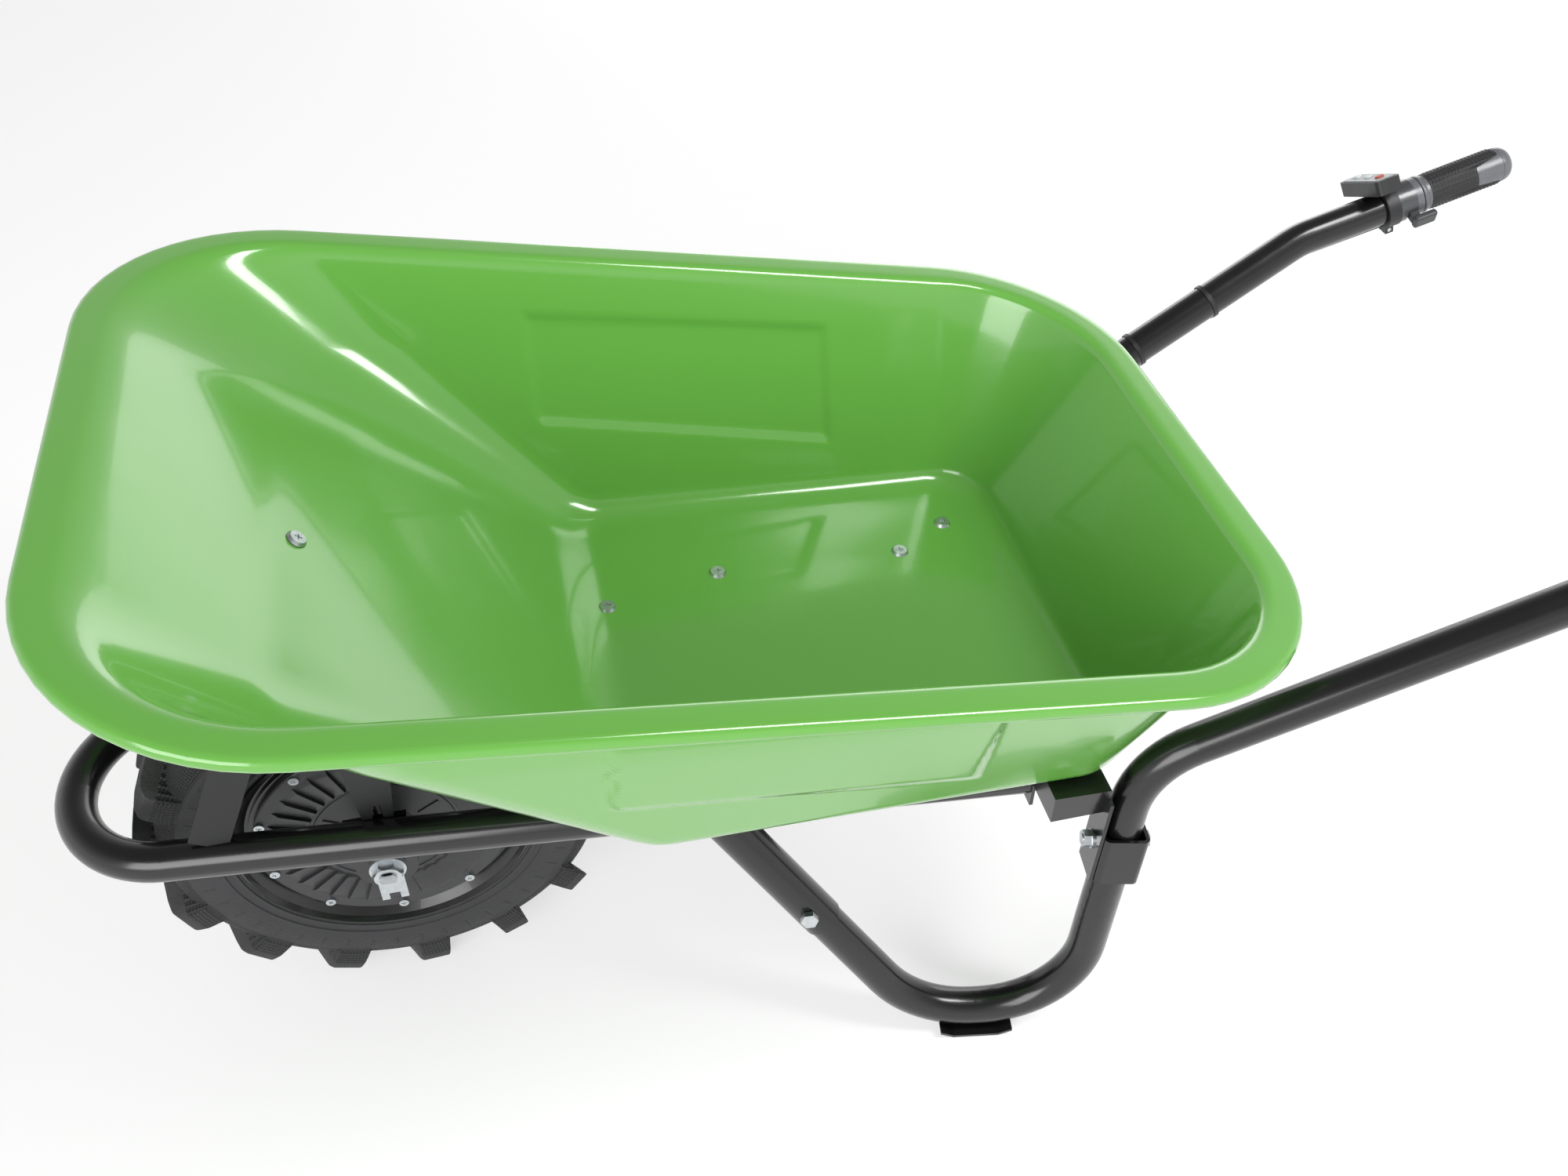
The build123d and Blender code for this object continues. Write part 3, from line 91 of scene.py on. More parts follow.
def place_light(name, where, target, size, watts):
    """A rectangular lamp aimed at a target; places and size in metres."""
    lamp = bpy.data.lights.new(name, "AREA")
    lamp.shape = "RECTANGLE"
    lamp.size, lamp.size_y = size
    lamp.energy = watts
    lamp_object = bpy.data.objects.new(name, lamp)
    scene.collection.objects.link(lamp_object)
    lamp_object.location = where
    facing = Vector(target) - Vector(where)
    lamp_object.rotation_euler = facing.to_track_quat("-Z", "Y").to_euler()


WHITE = (1.0, 1.0, 1.0, 1.0)
FLOOR_HALF = 14.0
floor_mesh = bpy.data.meshes.new("studio_floor")
bm = bmesh.new()
bmesh.ops.create_grid(bm, x_segments=1, y_segments=1, size=FLOOR_HALF)
bm.to_mesh(floor_mesh)
bm.free()
floor = bpy.data.objects.new("studio_floor", floor_mesh)
scene.collection.objects.link(floor)
# the paper glows a little, which keeps it white under the piece
paper = finish("white_paper_sweep", "#B8B8B8", 0.9, Emission_Color=WHITE, Emission_Strength=0.58)[0]
floor_mesh.materials.append(paper)

world = bpy.data.worlds.new("studio_air")
scene.world = world
world.use_nodes = True
# white walls all round, and a dimmer ceiling; between the two heights, which
# are sines of the angle above the horizon, one glow fades into the other
WALL_GLOW, CEILING_GLOW = 1.08, 0.24
WALLS_END, CEILING_STARTS = 0.12, 0.75
backdrop = world.node_tree.nodes["Background"]
way = add(world, "ShaderNodeTexCoord").outputs["Generated"]
height = add(world, "ShaderNodeSeparateXYZ", Vector=way).outputs["Z"]
ceiling = add(world, "ShaderNodeMapRange", Value=height, n1=WALLS_END, n2=CEILING_STARTS,
              n3=WALL_GLOW, n4=CEILING_GLOW)
join(world, ceiling.outputs["Result"], backdrop.inputs["Strength"])
backdrop.inputs["Color"].default_value = WHITE
# each lamp: its place, its target, its size and its watts
place_light("overhead_softbox", (1.0, -0.61, 2.06), (-0.1, 0.1, 0.35), (0.42, 1.3), 30.0)
place_light("near_window", (-1.9, -2.6, 1.7), (0.0, 0.0, 0.3), (2.2, 1.8), 66.0)
place_light("back_window", (1.3, 2.6, 0.75), (-0.2, 0.0, 0.4), (2.8, 1.1), 16.0)

LENS_MM, SENSOR_MM = 32.873, 36.0
camera_data = bpy.data.cameras.new("camera")
camera_data.sensor_width = SENSOR_MM
camera_data.lens = LENS_MM
camera_data.shift_x = 0.01605
camera_data.shift_y = -0.03045
camera_data.clip_end = 60.0
camera = bpy.data.objects.new("camera", camera_data)
scene.collection.objects.link(camera)
# columns: right, up, backwards, and the place in metres
camera.matrix_world = Matrix((
    (0.97457, 0.14887, -0.16749, -0.29926),
    (-0.22410, 0.64752, -0.72835, -0.83530),
    (0.0, 0.74738, 0.66438, 1.18390),
    (0.0, 0.0, 0.0, 1.0),
))
scene.camera = camera
scene.view_settings.view_transform = "Standard"

# ---- Frame, legs and handles ----------------------------------------------
# Bent 32 mm steel tube, welded, then powder coated gloss black. The coat
# flows a little as it cures, which leaves a faint long-wave ripple.
# Ripples lie 2.4 mm apart, and the haze in patches of 38 mm.
gloss_coat, shader = finish("gloss_black_powder_coat", "#0F0F10", 0.22, Coat_Weight=0.35,
                            Coat_Roughness=0.12)
where = add(gloss_coat, "ShaderNodeTexCoord").outputs["Object"]
ripple = add(gloss_coat, "ShaderNodeTexNoise", Vector=where, Scale=420.0, Detail=2.0)
flow = add(gloss_coat, "ShaderNodeBump", Height=ripple.outputs["Fac"], Strength=0.05,
           Distance=0.0006)
join(gloss_coat, flow.outputs["Normal"], shader.inputs["Normal"])
haze = add(gloss_coat, "ShaderNodeTexNoise", Vector=where, Scale=26.0, Detail=4.0)
dull = add(gloss_coat, "ShaderNodeMapRange", Value=haze.outputs["Fac"], n3=0.18, n4=0.32)
join(gloss_coat, dull.outputs["Result"], shader.inputs["Roughness"])


def coat(names, material):
    """Gives CAD nodes one finish."""
    for name in names:
        mesh = nodes[name].data
        mesh.materials.clear()
        mesh.materials.append(material)


coat(["frame_loop", "handle_leg_left", "handle_leg_right", "leg_stubs", "leg_brackets",
      "rear_cross_member", "front_cross_member", "foot_plates", "axle_plates", "battery_box"],
     gloss_coat)

# ---- Tray ------------------------------------------------------------------
# One deep pressing in 1.5 mm sheet, with a flat floor, a creased front panel,
# a flange all round and a rolled edge. Enamelled light green, baked glossy.
axle_low, axle_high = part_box("axle")
AXLE = (axle_low + axle_high) / 2


def at(x, y, z):
    """A place given in millimetres: x from the axle, y from the middle, z from the ground."""
    return Vector((AXLE.x + x / 1000, y / 1000, z / 1000))


def new_piece(name, bm, body, material):
    """Turns a bmesh into a piece that rides on a body."""
    mesh = bpy.data.meshes.new(name)
    bm.to_mesh(mesh)
    bm.free()
    mesh.shade_smooth()
    mesh.materials.append(material)
    piece = bpy.data.objects.new(name, mesh)
    scene.collection.objects.link(piece)
    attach(piece, body)
    return piece


def thicken(piece, name, metres):
    """Gives a skin its thickness, inwards from the modelled face."""
    solid = piece.modifiers.new(name, "SOLIDIFY")
    solid.thickness = metres
    solid.offset = -1.0


def blend_line(a, b, share):
    """The value at a share of the way from a to b."""
    return a + (b - a) * share


def ease(share):
    """A share held between 0 and 1, with a soft start and a soft end."""
    held = min(1.0, max(0.0, share))
    return held * held * (3 - 2 * held)


# The pressing's two end lines in millimetres: x and z at the front and at the
# rear, half widths there, and corner sizes there. Lines between are blends.
FLOOR_LINE = ((191.5, 311.0), (585.5, 290.3), 198.5, 190.5, 40.5, 40.5)
OPEN_LINE = ((-122.5, 605.6), (680.5, 458.4), 268.0, 250.0, 130.0, 120.0)
# the front panel's crease: its level, how far it drops, and where it softens
CREASE_LEVEL, CREASE_SAG, CREASE_SOFT_FROM, CREASE_SOFTEN = 0.70, 13.0, 0.93, 4
CORNER_STEPS, SIDE_CUTS, END_CUTS = 14, 110, 26


def tray_line(level, inset=0.0, drop=0.0):
    """The places and edges of one closed line of the pressing, at a level from 0, the floor,
    to 1, the opening. A line can be inset, and dropped below its own plane."""
    (fx, fz), (rx, rz), half_front, half_rear, round_front, round_rear = (
        [tuple(blend_line(a, b, level) for a, b in zip(p, q)) if isinstance(p, tuple)
         else blend_line(p, q, level) for p, q in zip(FLOOR_LINE, OPEN_LINE)]
    )
    reach = min(level / CREASE_LEVEL, (1 - level) / (1 - CREASE_LEVEL)) if 0 < level < 1 else 0.0
    fz -= CREASE_SAG * (reach - max(0.0, reach - CREASE_SOFT_FROM) ** 2 * CREASE_SOFTEN)
    length = hypot(rx - fx, rz - fz)
    line = bmesh.new()
    spots = ((inset, inset - half_front), (length - inset, inset - half_rear),
             (length - inset, half_rear - inset), (inset, half_front - inset))
    corners = [line.verts.new((x / 1000, y / 1000, -drop / 1000)) for x, y in spots]
    for first, second in zip(corners, corners[1:] + corners[:1]):
        line.edges.new((first, second))
    for pair, size in ((corners[::3], round_front), (corners[1:3], round_rear)):
        bmesh.ops.bevel(line, geom=pair, affect="VERTICES", offset=(size - inset) / 1000,
                        segments=CORNER_STEPS, profile=0.5, material=-1)
    straight = sorted(line.edges, key=lambda edge: -edge.calc_length())[:4]
    sides = [edge for edge in straight if abs(edge.verts[0].co.y + edge.verts[1].co.y) > 0.1]
    ends = [edge for edge in straight if edge not in sides]
    bmesh.ops.subdivide_edges(line, edges=sides, cuts=SIDE_CUTS)
    bmesh.ops.subdivide_edges(line, edges=ends, cuts=END_CUTS)
    slope = Vector(((rx - fx) / length, 0, (rz - fz) / length))
    up = Vector((-slope.z, 0, slope.x))
    start = at(fx, 0, fz)
    line.verts.index_update()
    places = [start + slope * vert.co.x + Vector((0, vert.co.y, 0)) + up * vert.co.z
              for vert in line.verts]
    pairs = [(edge.verts[0].index, edge.verts[1].index) for edge in line.edges]
    line.free()
    return places, pairs


def draw_up(bm, rim, edges, places):
    """Extrudes a closed line of edges and moves the new line to its own places."""
    made = bmesh.ops.extrude_edge_only(bm, edges=edges)["geom"]
    fresh = {item for item in made if isinstance(item, bmesh.types.BMVert)}
    following = [next(edge.other_vert(vert) for edge in vert.link_edges
                      if edge.other_vert(vert) in fresh) for vert in rim]
    for vert, place in zip(following, places):
        vert.co = place
    edges = [item for item in made
             if isinstance(item, bmesh.types.BMEdge) and set(item.verts) <= fresh]
    return following, edges


def curve_points(start, control, end, steps):
    """Points along a three-point curve, without its first."""
    points = []
    for step in range(1, steps + 1):
        share = step / steps
        points.append(tuple(
            blend_line(blend_line(a, b, share), blend_line(b, c, share), share)
            for a, b, c in zip(start, control, end)
        ))
    return points


# Each row is a level, an inset and a drop: the floor, the bend at its edge,
# the walls, the bend at the lip, the flange and the rolled bead.
FLOOR_CURVE, LIP_CURVE, FLANGE, FLAT = 24.0, 9.0, 24.0, 5.0
WALL_FOOT, WALL_RUN, WALL_TOP, WALL_LEVELS = 0.075, 0.885, 0.96, 46
BEAD, BEAD_STEPS, BEAD_ARC = 6.0, 16, 260
bm = bmesh.new()
rows = [(0.0, FLOOR_CURVE + 12, 0.0), (0.0, FLOOR_CURVE, 0.0)]
rows += curve_points((0.0, FLOOR_CURVE, 0.0), (0.0, 0.0, 0.0), (WALL_FOOT, 0.0, 0.0), 7)
rows += [(WALL_FOOT + WALL_RUN * step / WALL_LEVELS, 0.0, 0.0)
         for step in range(1, WALL_LEVELS + 1)]
rows += curve_points((WALL_TOP, 0.0, 0.0), (1.0, 0.0, 0.0), (1.0, -LIP_CURVE, 0.0), 6)
rows += [(1.0, -LIP_CURVE - FLAT, 0.0), (1.0, FLAT - FLANGE, 0.0), (1.0, -FLANGE, 0.0)]
for step in range(1, BEAD_STEPS + 1):
    angle = radians(90 - BEAD_ARC * step / BEAD_STEPS)
    rows.append((1.0, -FLANGE - BEAD * cos(angle), BEAD - BEAD * sin(angle)))
places, pairs = tray_line(*rows[0])
rim = [bm.verts.new(place) for place in places]
edges = [bm.edges.new((rim[first], rim[second])) for first, second in pairs]
bmesh.ops.contextual_create(bm, geom=edges)
for row in rows[1:]:
    rim, edges = draw_up(bm, rim, edges, tray_line(*row)[0])
bmesh.ops.recalc_face_normals(bm, faces=bm.faces)
bm.faces.ensure_lookup_table()
floor_face = max(bm.faces, key=lambda face: len(face.verts))
if floor_face.normal.z < 0:
    bmesh.ops.reverse_faces(bm, faces=bm.faces)
# a plain rectangle pressed outwards in each side wall, in millimetres
PANEL_X, PANEL_TOP, PANEL_FOOT = (176.0, 453.0), (503.0, 455.0), (400.0, 342.0)
PANEL_DEPTH, PANEL_EDGE = 3.2, 8.0
SIDE_WALL_Y = 0.19
for vert in bm.verts:
    x, z = (vert.co.x - AXLE.x) * 1000, vert.co.z * 1000
    share = (x - PANEL_X[0]) / (PANEL_X[1] - PANEL_X[0])
    if abs(vert.co.y) > SIDE_WALL_Y:
        inside = min(x - PANEL_X[0], PANEL_X[1] - x, blend_line(*PANEL_TOP, share) - z,
                     z - blend_line(*PANEL_FOOT, share))
        outwards = 1 if vert.co.y > 0 else -1
        vert.co.y += PANEL_DEPTH / 1000 * ease(inside / PANEL_EDGE) * outwards
# a 4 mm orange peel in the baked skin, and long waves left by the draw
enamel, shader = finish("baked_green_enamel", "#65A745", 0.18, Coat_Weight=0.6, Coat_Roughness=0.06)
where = add(enamel, "ShaderNodeTexCoord").outputs["Object"]
peel = add(enamel, "ShaderNodeTexNoise", Vector=where, Scale=260.0, Detail=2.0)
skin = add(enamel, "ShaderNodeBump", Height=peel.outputs["Fac"], Strength=0.06, Distance=0.0008)
draw = add(enamel, "ShaderNodeTexNoise", Vector=where, Scale=7.0, Detail=2.0)
sheet_wave = add(enamel, "ShaderNodeBump", Height=draw.outputs["Fac"], Strength=0.25,
                 Distance=0.006, Normal=skin.outputs["Normal"])
join(enamel, sheet_wave.outputs["Normal"], shader.inputs["Normal"])
tray = new_piece("tray_pressing", bm, "chassis", enamel)
thicken(tray, "sheet", 0.0015)
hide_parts("tray")

# ---- Small steel hardware -------------------------------------------------
# Cold-formed bolts, nuts, washers and screws, bright zinc plated: a bluish
# metal with cloudy patches where the plating dulls.
GLOSSIER, DULLER = 0.8, 1.25


def cloudy(name, colour, second, roughness, patch, grain, depth, **sockets):
    """A finish whose colour and gloss drift over patches, with a fine grain of some depth. The
    patch, the grain and the depth are in millimetres. Returns the material."""
    material, shader = finish(name, colour, roughness, **sockets)
    where = add(material, "ShaderNodeTexCoord").outputs["Object"]
    cloud = add(material, "ShaderNodeTexNoise", Vector=where, Scale=1000 / patch, Detail=3.0)
    tint = add(material, "ShaderNodeMix", {"data_type": "RGBA"}, Factor=cloud.outputs["Fac"],
               n6=linear(colour), n7=linear(second))
    join(material, tint.outputs[2], shader.inputs["Base Color"])
    gloss = add(material, "ShaderNodeMapRange", Value=cloud.outputs["Fac"],
                n3=roughness * GLOSSIER, n4=roughness * DULLER)
    join(material, gloss.outputs["Result"], shader.inputs["Roughness"])
    grit = add(material, "ShaderNodeTexNoise", Vector=where, Scale=1000 / grain, Detail=2.0)
    relief = add(material, "ShaderNodeBump", Height=grit.outputs["Fac"], Strength=0.5,
                 Distance=depth / 1000)
    join(material, relief.outputs["Normal"], shader.inputs["Normal"])
    return material


zinc = cloudy("bright_zinc_plate", "#DADDDF", "#B4BABF", 0.36, 5.0, 1.1, 0.05, Metallic=1.0)
coat(["tray_bolts", "tray_nuts", "stub_bolts", "stub_nuts", "bracket_bolts", "bracket_nuts",
      "torque_washers", "axle_nuts", "cover_screws", "box_hinge_pin", "clamp_screw"], zinc)
turned_steel = cloudy("turned_bearing_steel", "#C4C6C8", "#97999C", 0.2, 8.0, 0.9, 0.04,
                      Metallic=1.0)
coat(["axle", "axle_spacers", "wheel_bearings", "throttle_spring"], turned_steel)

# ---- Nose strap and cable guard --------------------------------------------
# Flat 4 mm strap welded across the frame's nose, and a folded sheet guard
# over the motor lead. Both have a flatter black than the tubes.
flat_coat = cloudy("flat_black_paint", "#161617", "#1F1F20", 0.5, 14.0, 1.2, 0.07)
coat(["front_brace", "cable_guard"], flat_coat)

# ---- Tyre ------------------------------------------------------------------
# A 400 mm lugged tractor tyre, moulded in black rubber: two rows of slanted
# bars run from the crown over the shoulders, half a step apart, and a fine
# grid fills the tread between them.
CROWN_MM, LUGS, RING_STEPS = 184, 15, 144


def round_wheel(radius, y, turn=0.0):
    """A place on the wheel: radius and y in millimetres, turn in radians from the top towards
    the handles."""
    spoke = Vector((radius * sin(turn), 0, radius * cos(turn))) / 1000
    return AXLE + spoke + Vector((0, y / 1000, 0))


def closed_line(bm, places):
    """A closed line of vertices and edges through the places."""
    line = [bm.verts.new(place) for place in places]
    return line, [bm.edges.new(pair) for pair in zip(line, line[1:] + line[:1])]


def spin_round(bm, edges, centre, axis, steps):
    """Turns a closed outline a whole turn into a ring."""
    bmesh.ops.spin(bm, geom=edges + list({vert for edge in edges for vert in edge.verts}),
                   cent=centre, axis=axis, angle=2 * pi, steps=steps, use_merge=True)
    bmesh.ops.remove_doubles(bm, verts=bm.verts, dist=0.00001)
    bmesh.ops.recalc_face_normals(bm, faces=bm.faces)


def copies_round(bm, faces, count, centre, axis):
    """Repeats faces evenly round an axis."""
    geom = list({item for face in faces for item in (face, *face.edges, *face.verts)})
    bmesh.ops.spin(bm, geom=geom, cent=centre, axis=axis, angle=2 * pi * (count - 1) / count,
                   steps=count - 1, use_duplicate=True)


def take_in(bm, extra, name):
    """Adds one bmesh to another and frees it."""
    carrier = bpy.data.meshes.new(name)
    extra.to_mesh(carrier)
    extra.free()
    bm.from_mesh(carrier)


def crease(piece, degrees):
    """Keeps edges sharper than an angle crisp."""
    piece.data.set_sharp_from_angle(angle=radians(degrees))


# half of the carcass's section, outside and inside: radius and y in millimetres
SHOULDER = [(104, 30), (112, 30), (119, 40.5), (122, 44), (124.5, 46.4), (127, 47.4), (127.6, 48.7),
            (130.6, 49.0), (131.4, 47.9), (136, 48.4), (136.6, 49.4), (138.6, 49.5), (139.2, 48.6),
            (147, 49.3), (156, 49.0), (164, 47.9), (170, 46), (175, 43), (178.5, 39.5), (181, 35),
            (182.8, 28), (183.6, 20), (184, 10), (184, 0)]
INSIDE = [(176, 0), (176, 19), (172, 36), (162, 42.5), (150, 44), (130, 41), (116, 30), (110, 19),
          (104, 17)]
bm = bmesh.new()
outline = (SHOULDER + [(r, -y) for r, y in SHOULDER[-2::-1]]
           + [(r, -y) for r, y in INSIDE[::-1]] + INSIDE[1:])
line, edges = closed_line(bm, [round_wheel(r, y) for r, y in outline])
spin_round(bm, edges, AXLE, (0, 1, 0), RING_STEPS)
# a bar's sections from the crown outwards: radius and y at its foot and at its
# top, how far its middle leads, and its half lengths at foot and top
LUG_STATIONS = [
    ((181.5, 3), (195.5, 4.5), 17.5, 9.5, 6.6),
    ((181.5, 6), (199.4, 8), 15.4, 10.5, 7.2),
    ((181.0, 18), (200, 20), 6.0, 11.5, 8.0),
    ((180.0, 30), (200, 34), -3.4, 13.0, 9.4),
    ((177.0, 37), (198.4, 43), -9.5, 15.5, 11.2),
    ((172.0, 41), (193.5, 48.6), -13.5, 17.0, 12.0),
    ((166.0, 43.5), (183, 50), -15.5, 18.0, 12.6),
    ((161.0, 45), (169, 49.4), -16.0, 18.5, 13.4),
]
for side in (-1, 1):
    lead = 0.0 if side > 0 else pi / LUGS
    bars = bmesh.new()
    rings = []
    for (base_r, base_y), (top_r, top_y), middle, base_half, top_half in LUG_STATIONS:
        corners = ((base_r, base_y, -base_half), (top_r, top_y, -top_half),
                   (top_r, top_y, top_half), (base_r, base_y, base_half))
        rings.append([round_wheel(r, y * side, lead + (middle + x) / CROWN_MM)
                      for r, y, x in corners])
    rim, edges = closed_line(bars, rings[0])
    bmesh.ops.contextual_create(bars, geom=edges)
    for ring_places in rings[1:]:
        rim, edges = draw_up(bars, rim, edges, ring_places)
    bmesh.ops.contextual_create(bars, geom=edges)
    bmesh.ops.recalc_face_normals(bars, faces=bars.faces)
    bmesh.ops.bevel(bars, geom=bars.edges[:], affect="EDGES", offset=0.0014, segments=2,
                    profile=0.5, material=-1)
    copies_round(bars, bars.faces[:], LUGS, AXLE, (0, 1, 0))
    take_in(bm, bars, "lug_row")
rubber, shader = finish("moulded_black_rubber", "#2A2A2C", 0.66)
where = add(rubber, "ShaderNodeTexCoord").outputs["Object"]
flat = add(rubber, "ShaderNodeMapping", Vector=where, Location=(-AXLE.x, 0, -AXLE.z),
           Scale=(1, 0, 1))
radius = add(rubber, "ShaderNodeVectorMath", {"operation": "LENGTH"},
             n0=flat.outputs["Vector"]).outputs["Value"]
axes = add(rubber, "ShaderNodeSeparateXYZ", Vector=flat.outputs["Vector"])
turn = add(rubber, "ShaderNodeMath", {"operation": "ARCTAN2"}, n0=axes.outputs["X"],
           n1=axes.outputs["Z"]).outputs[0]
across = add(rubber, "ShaderNodeSeparateXYZ", Vector=where).outputs["Y"]
# the grid's real pitch is 2 mm; it is drawn at 3.2 mm so that it shows, which
# makes 361 lanes round the crown. It fades in and out over two short bands.
GRID_PITCH, LANES = 0.0032, 361.0
GRID_IN, GRID_OUT = (0.1640, 0.1665), (0.1846, 0.1855)
lanes = add(rubber, "ShaderNodeMath", {"operation": "MULTIPLY"}, n0=turn, n1=LANES)
sideways = add(rubber, "ShaderNodeMath", {"operation": "ABSOLUTE"}, n0=across)
down_wall = add(rubber, "ShaderNodeMath", {"operation": "SUBTRACT"}, n0=sideways.outputs[0],
                n1=radius)
rows_of = add(rubber, "ShaderNodeMath", {"operation": "MULTIPLY"}, n0=down_wall.outputs[0],
              n1=2 * pi / GRID_PITCH)
lane_wave = add(rubber, "ShaderNodeMath", {"operation": "SINE"}, n0=lanes.outputs[0])
row_wave = add(rubber, "ShaderNodeMath", {"operation": "SINE"}, n0=rows_of.outputs[0])
grid = add(rubber, "ShaderNodeMath", {"operation": "MAXIMUM"}, n0=lane_wave.outputs[0],
           n1=row_wave.outputs[0])
tread = add(rubber, "ShaderNodeMapRange", Value=radius, n1=GRID_IN[0], n2=GRID_IN[1])
below = add(rubber, "ShaderNodeMapRange", Value=radius, n1=GRID_OUT[0], n2=GRID_OUT[1],
            n3=1.0, n4=0.0)
grid = add(rubber, "ShaderNodeMath", {"operation": "MULTIPLY"}, n0=grid.outputs[0],
           n1=tread.outputs["Result"])
grid = add(rubber, "ShaderNodeMath", {"operation": "MULTIPLY"}, n0=grid.outputs[0],
           n1=below.outputs["Result"])
# short moulded ticks run round the sidewall, in a band 9.5 mm wide
TICKS, TICK_IN, TICK_OUT = 45.0, (0.1495, 0.1500), (0.1590, 0.1595)
ticks = add(rubber, "ShaderNodeMath", {"operation": "MULTIPLY"}, n0=turn, n1=TICKS)
ticks = add(rubber, "ShaderNodeMath", {"operation": "SINE"}, n0=ticks.outputs[0])
ticks = add(rubber, "ShaderNodeMapRange", Value=ticks.outputs[0], n1=0.93, n2=0.98)
band = add(rubber, "ShaderNodeMapRange", Value=radius, n1=TICK_IN[0], n2=TICK_IN[1])
band_end = add(rubber, "ShaderNodeMapRange", Value=radius, n1=TICK_OUT[0], n2=TICK_OUT[1],
               n3=1.0, n4=0.0)
ticks = add(rubber, "ShaderNodeMath", {"operation": "MULTIPLY"}, n0=ticks.outputs["Result"],
            n1=band.outputs["Result"])
ticks = add(rubber, "ShaderNodeMath", {"operation": "MULTIPLY"}, n0=ticks.outputs[0],
            n1=band_end.outputs["Result"])
scuff = add(rubber, "ShaderNodeTexNoise", Vector=where, Scale=260.0, Detail=5.0)
height = add(rubber, "ShaderNodeMath", {"operation": "ADD"}, n0=grid.outputs[0],
             n1=ticks.outputs[0])
height = add(rubber, "ShaderNodeMath", {"operation": "MULTIPLY_ADD"}, n0=scuff.outputs["Fac"],
             n1=0.5, n2=height.outputs[0])
relief = add(rubber, "ShaderNodeBump", Height=height.outputs[0], Strength=1.0, Distance=0.0011)
join(rubber, relief.outputs["Normal"], shader.inputs["Normal"])
dust = add(rubber, "ShaderNodeTexNoise", Vector=where, Scale=24.0, Detail=6.0)
tint = add(rubber, "ShaderNodeMix", {"data_type": "RGBA"}, Factor=dust.outputs["Fac"],
           n6=linear("#202022"), n7=linear("#3A3A3C"))
join(rubber, tint.outputs[2], shader.inputs["Base Color"])
worn = add(rubber, "ShaderNodeMapRange", Value=dust.outputs["Fac"], n3=0.5, n4=0.8)
join(rubber, worn.outputs["Result"], shader.inputs["Roughness"])
tyre = new_piece("lugged_tyre", bm, "wheel", rubber)
crease(tyre, 38)
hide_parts("tyre")

# ---- Rim and hub motor -----------------------------------------------------
# A pressed steel rim welded to the motor's drum, painted satin black, and
# two cast aluminium covers with a fan of stepped cooling blades.
satin_paint = cloudy("satin_black_rim_paint", "#101011", "#18181A", 0.3, 12.0, 1.4, 0.05,
                     Coat_Weight=0.3)
coat(["wheel_rim"], satin_paint)
cast_black = cloudy("black_painted_casting", "#2C2C2E", "#38383A", 0.4, 9.0, 0.9, 0.12)
# the cover's section: radius and y in millimetres
COVER = [(20, 33), (20, 45), (9.5, 45), (9.5, 49.2), (10.4, 50), (24.4, 50), (26, 49.2),
         (28.6, 45.5), (30, 45), (57, 45), (57.6, 46), (59.4, 46), (60, 45), (98, 45), (104.8, 45),
         (106, 44), (106, 40), (26, 40), (26, 33)]
COVER_FACE, BLADE_ROOT, BLADES = 45, 44.6, 36
BLADE_STEP = 2 * pi / BLADES
# Blades and hub ribs: how many, inner and outer radius, how far each end slopes
# back, half width in steps, height at the two edges, and the first one's place.
BLADE_ROWS = (
    (BLADES, 62.5, 97.0, 1.6, 6.5, 0.46, 0.5, 3.3, 0.5),
    (6, 33.0, 55.0, 1.0, 1.0, 0.11, 1.2, 1.2, 0.0),
)
for name, side in (("left", -1), ("right", 1)):
    bm = bmesh.new()
    line, edges = closed_line(bm, [round_wheel(r, y * side) for r, y in COVER])
    spin_round(bm, edges, AXLE, (0, 1, 0), RING_STEPS)
    parts = bmesh.new()
    for count, in_r, out_r, slope_in, slope_out, half, low_h, high_h, first in BLADE_ROWS:
        made = bmesh.ops.create_cube(parts, size=1.0)["verts"]
        for vert in made:
            outer, up, late = vert.co.x > 0, vert.co.z > 0, vert.co.y > 0
            end = out_r if outer else in_r
            slope = (-slope_out if outer else slope_in) if up else 0
            y = COVER_FACE + (high_h if late else low_h) if up else BLADE_ROOT
            turn = BLADE_STEP * (first + (half if late else -half))
            vert.co = round_wheel(end + slope, y * side, turn)
        faces = list({face for vert in made for face in vert.link_faces})
        copies_round(parts, faces, count, AXLE, (0, 1, 0))
    bmesh.ops.recalc_face_normals(parts, faces=parts.faces)
    bmesh.ops.bevel(parts, geom=parts.edges[:], affect="EDGES", offset=0.0003, segments=1,
                    profile=0.5, material=-1)
    take_in(bm, parts, "blade_fan")
    cover = new_piece("motor_cover_" + name, bm, "wheel", cast_black)
    crease(cover, 25)
    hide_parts("hub_cover_" + name)
# inside the motor: magnets, laminated core and wound copper
nickel = cloudy("nickel_plated_magnet", "#B9B5AB", "#9A978F", 0.3, 6.0, 1.2, 0.04, Metallic=1.0)
coat(["rotor_magnets"], nickel)
core_sheet = cloudy("laminated_core_steel", "#74767A", "#5C5E61", 0.42, 5.0, 0.8, 0.1,
                    Metallic=0.9)
coat(["stator_core"], core_sheet)
copper_wire = cloudy("enamelled_copper_wire", "#B4602C", "#8A431C", 0.32, 4.0, 0.9, 0.2,
                     Metallic=1.0)
coat(["stator_windings"], copper_wire)

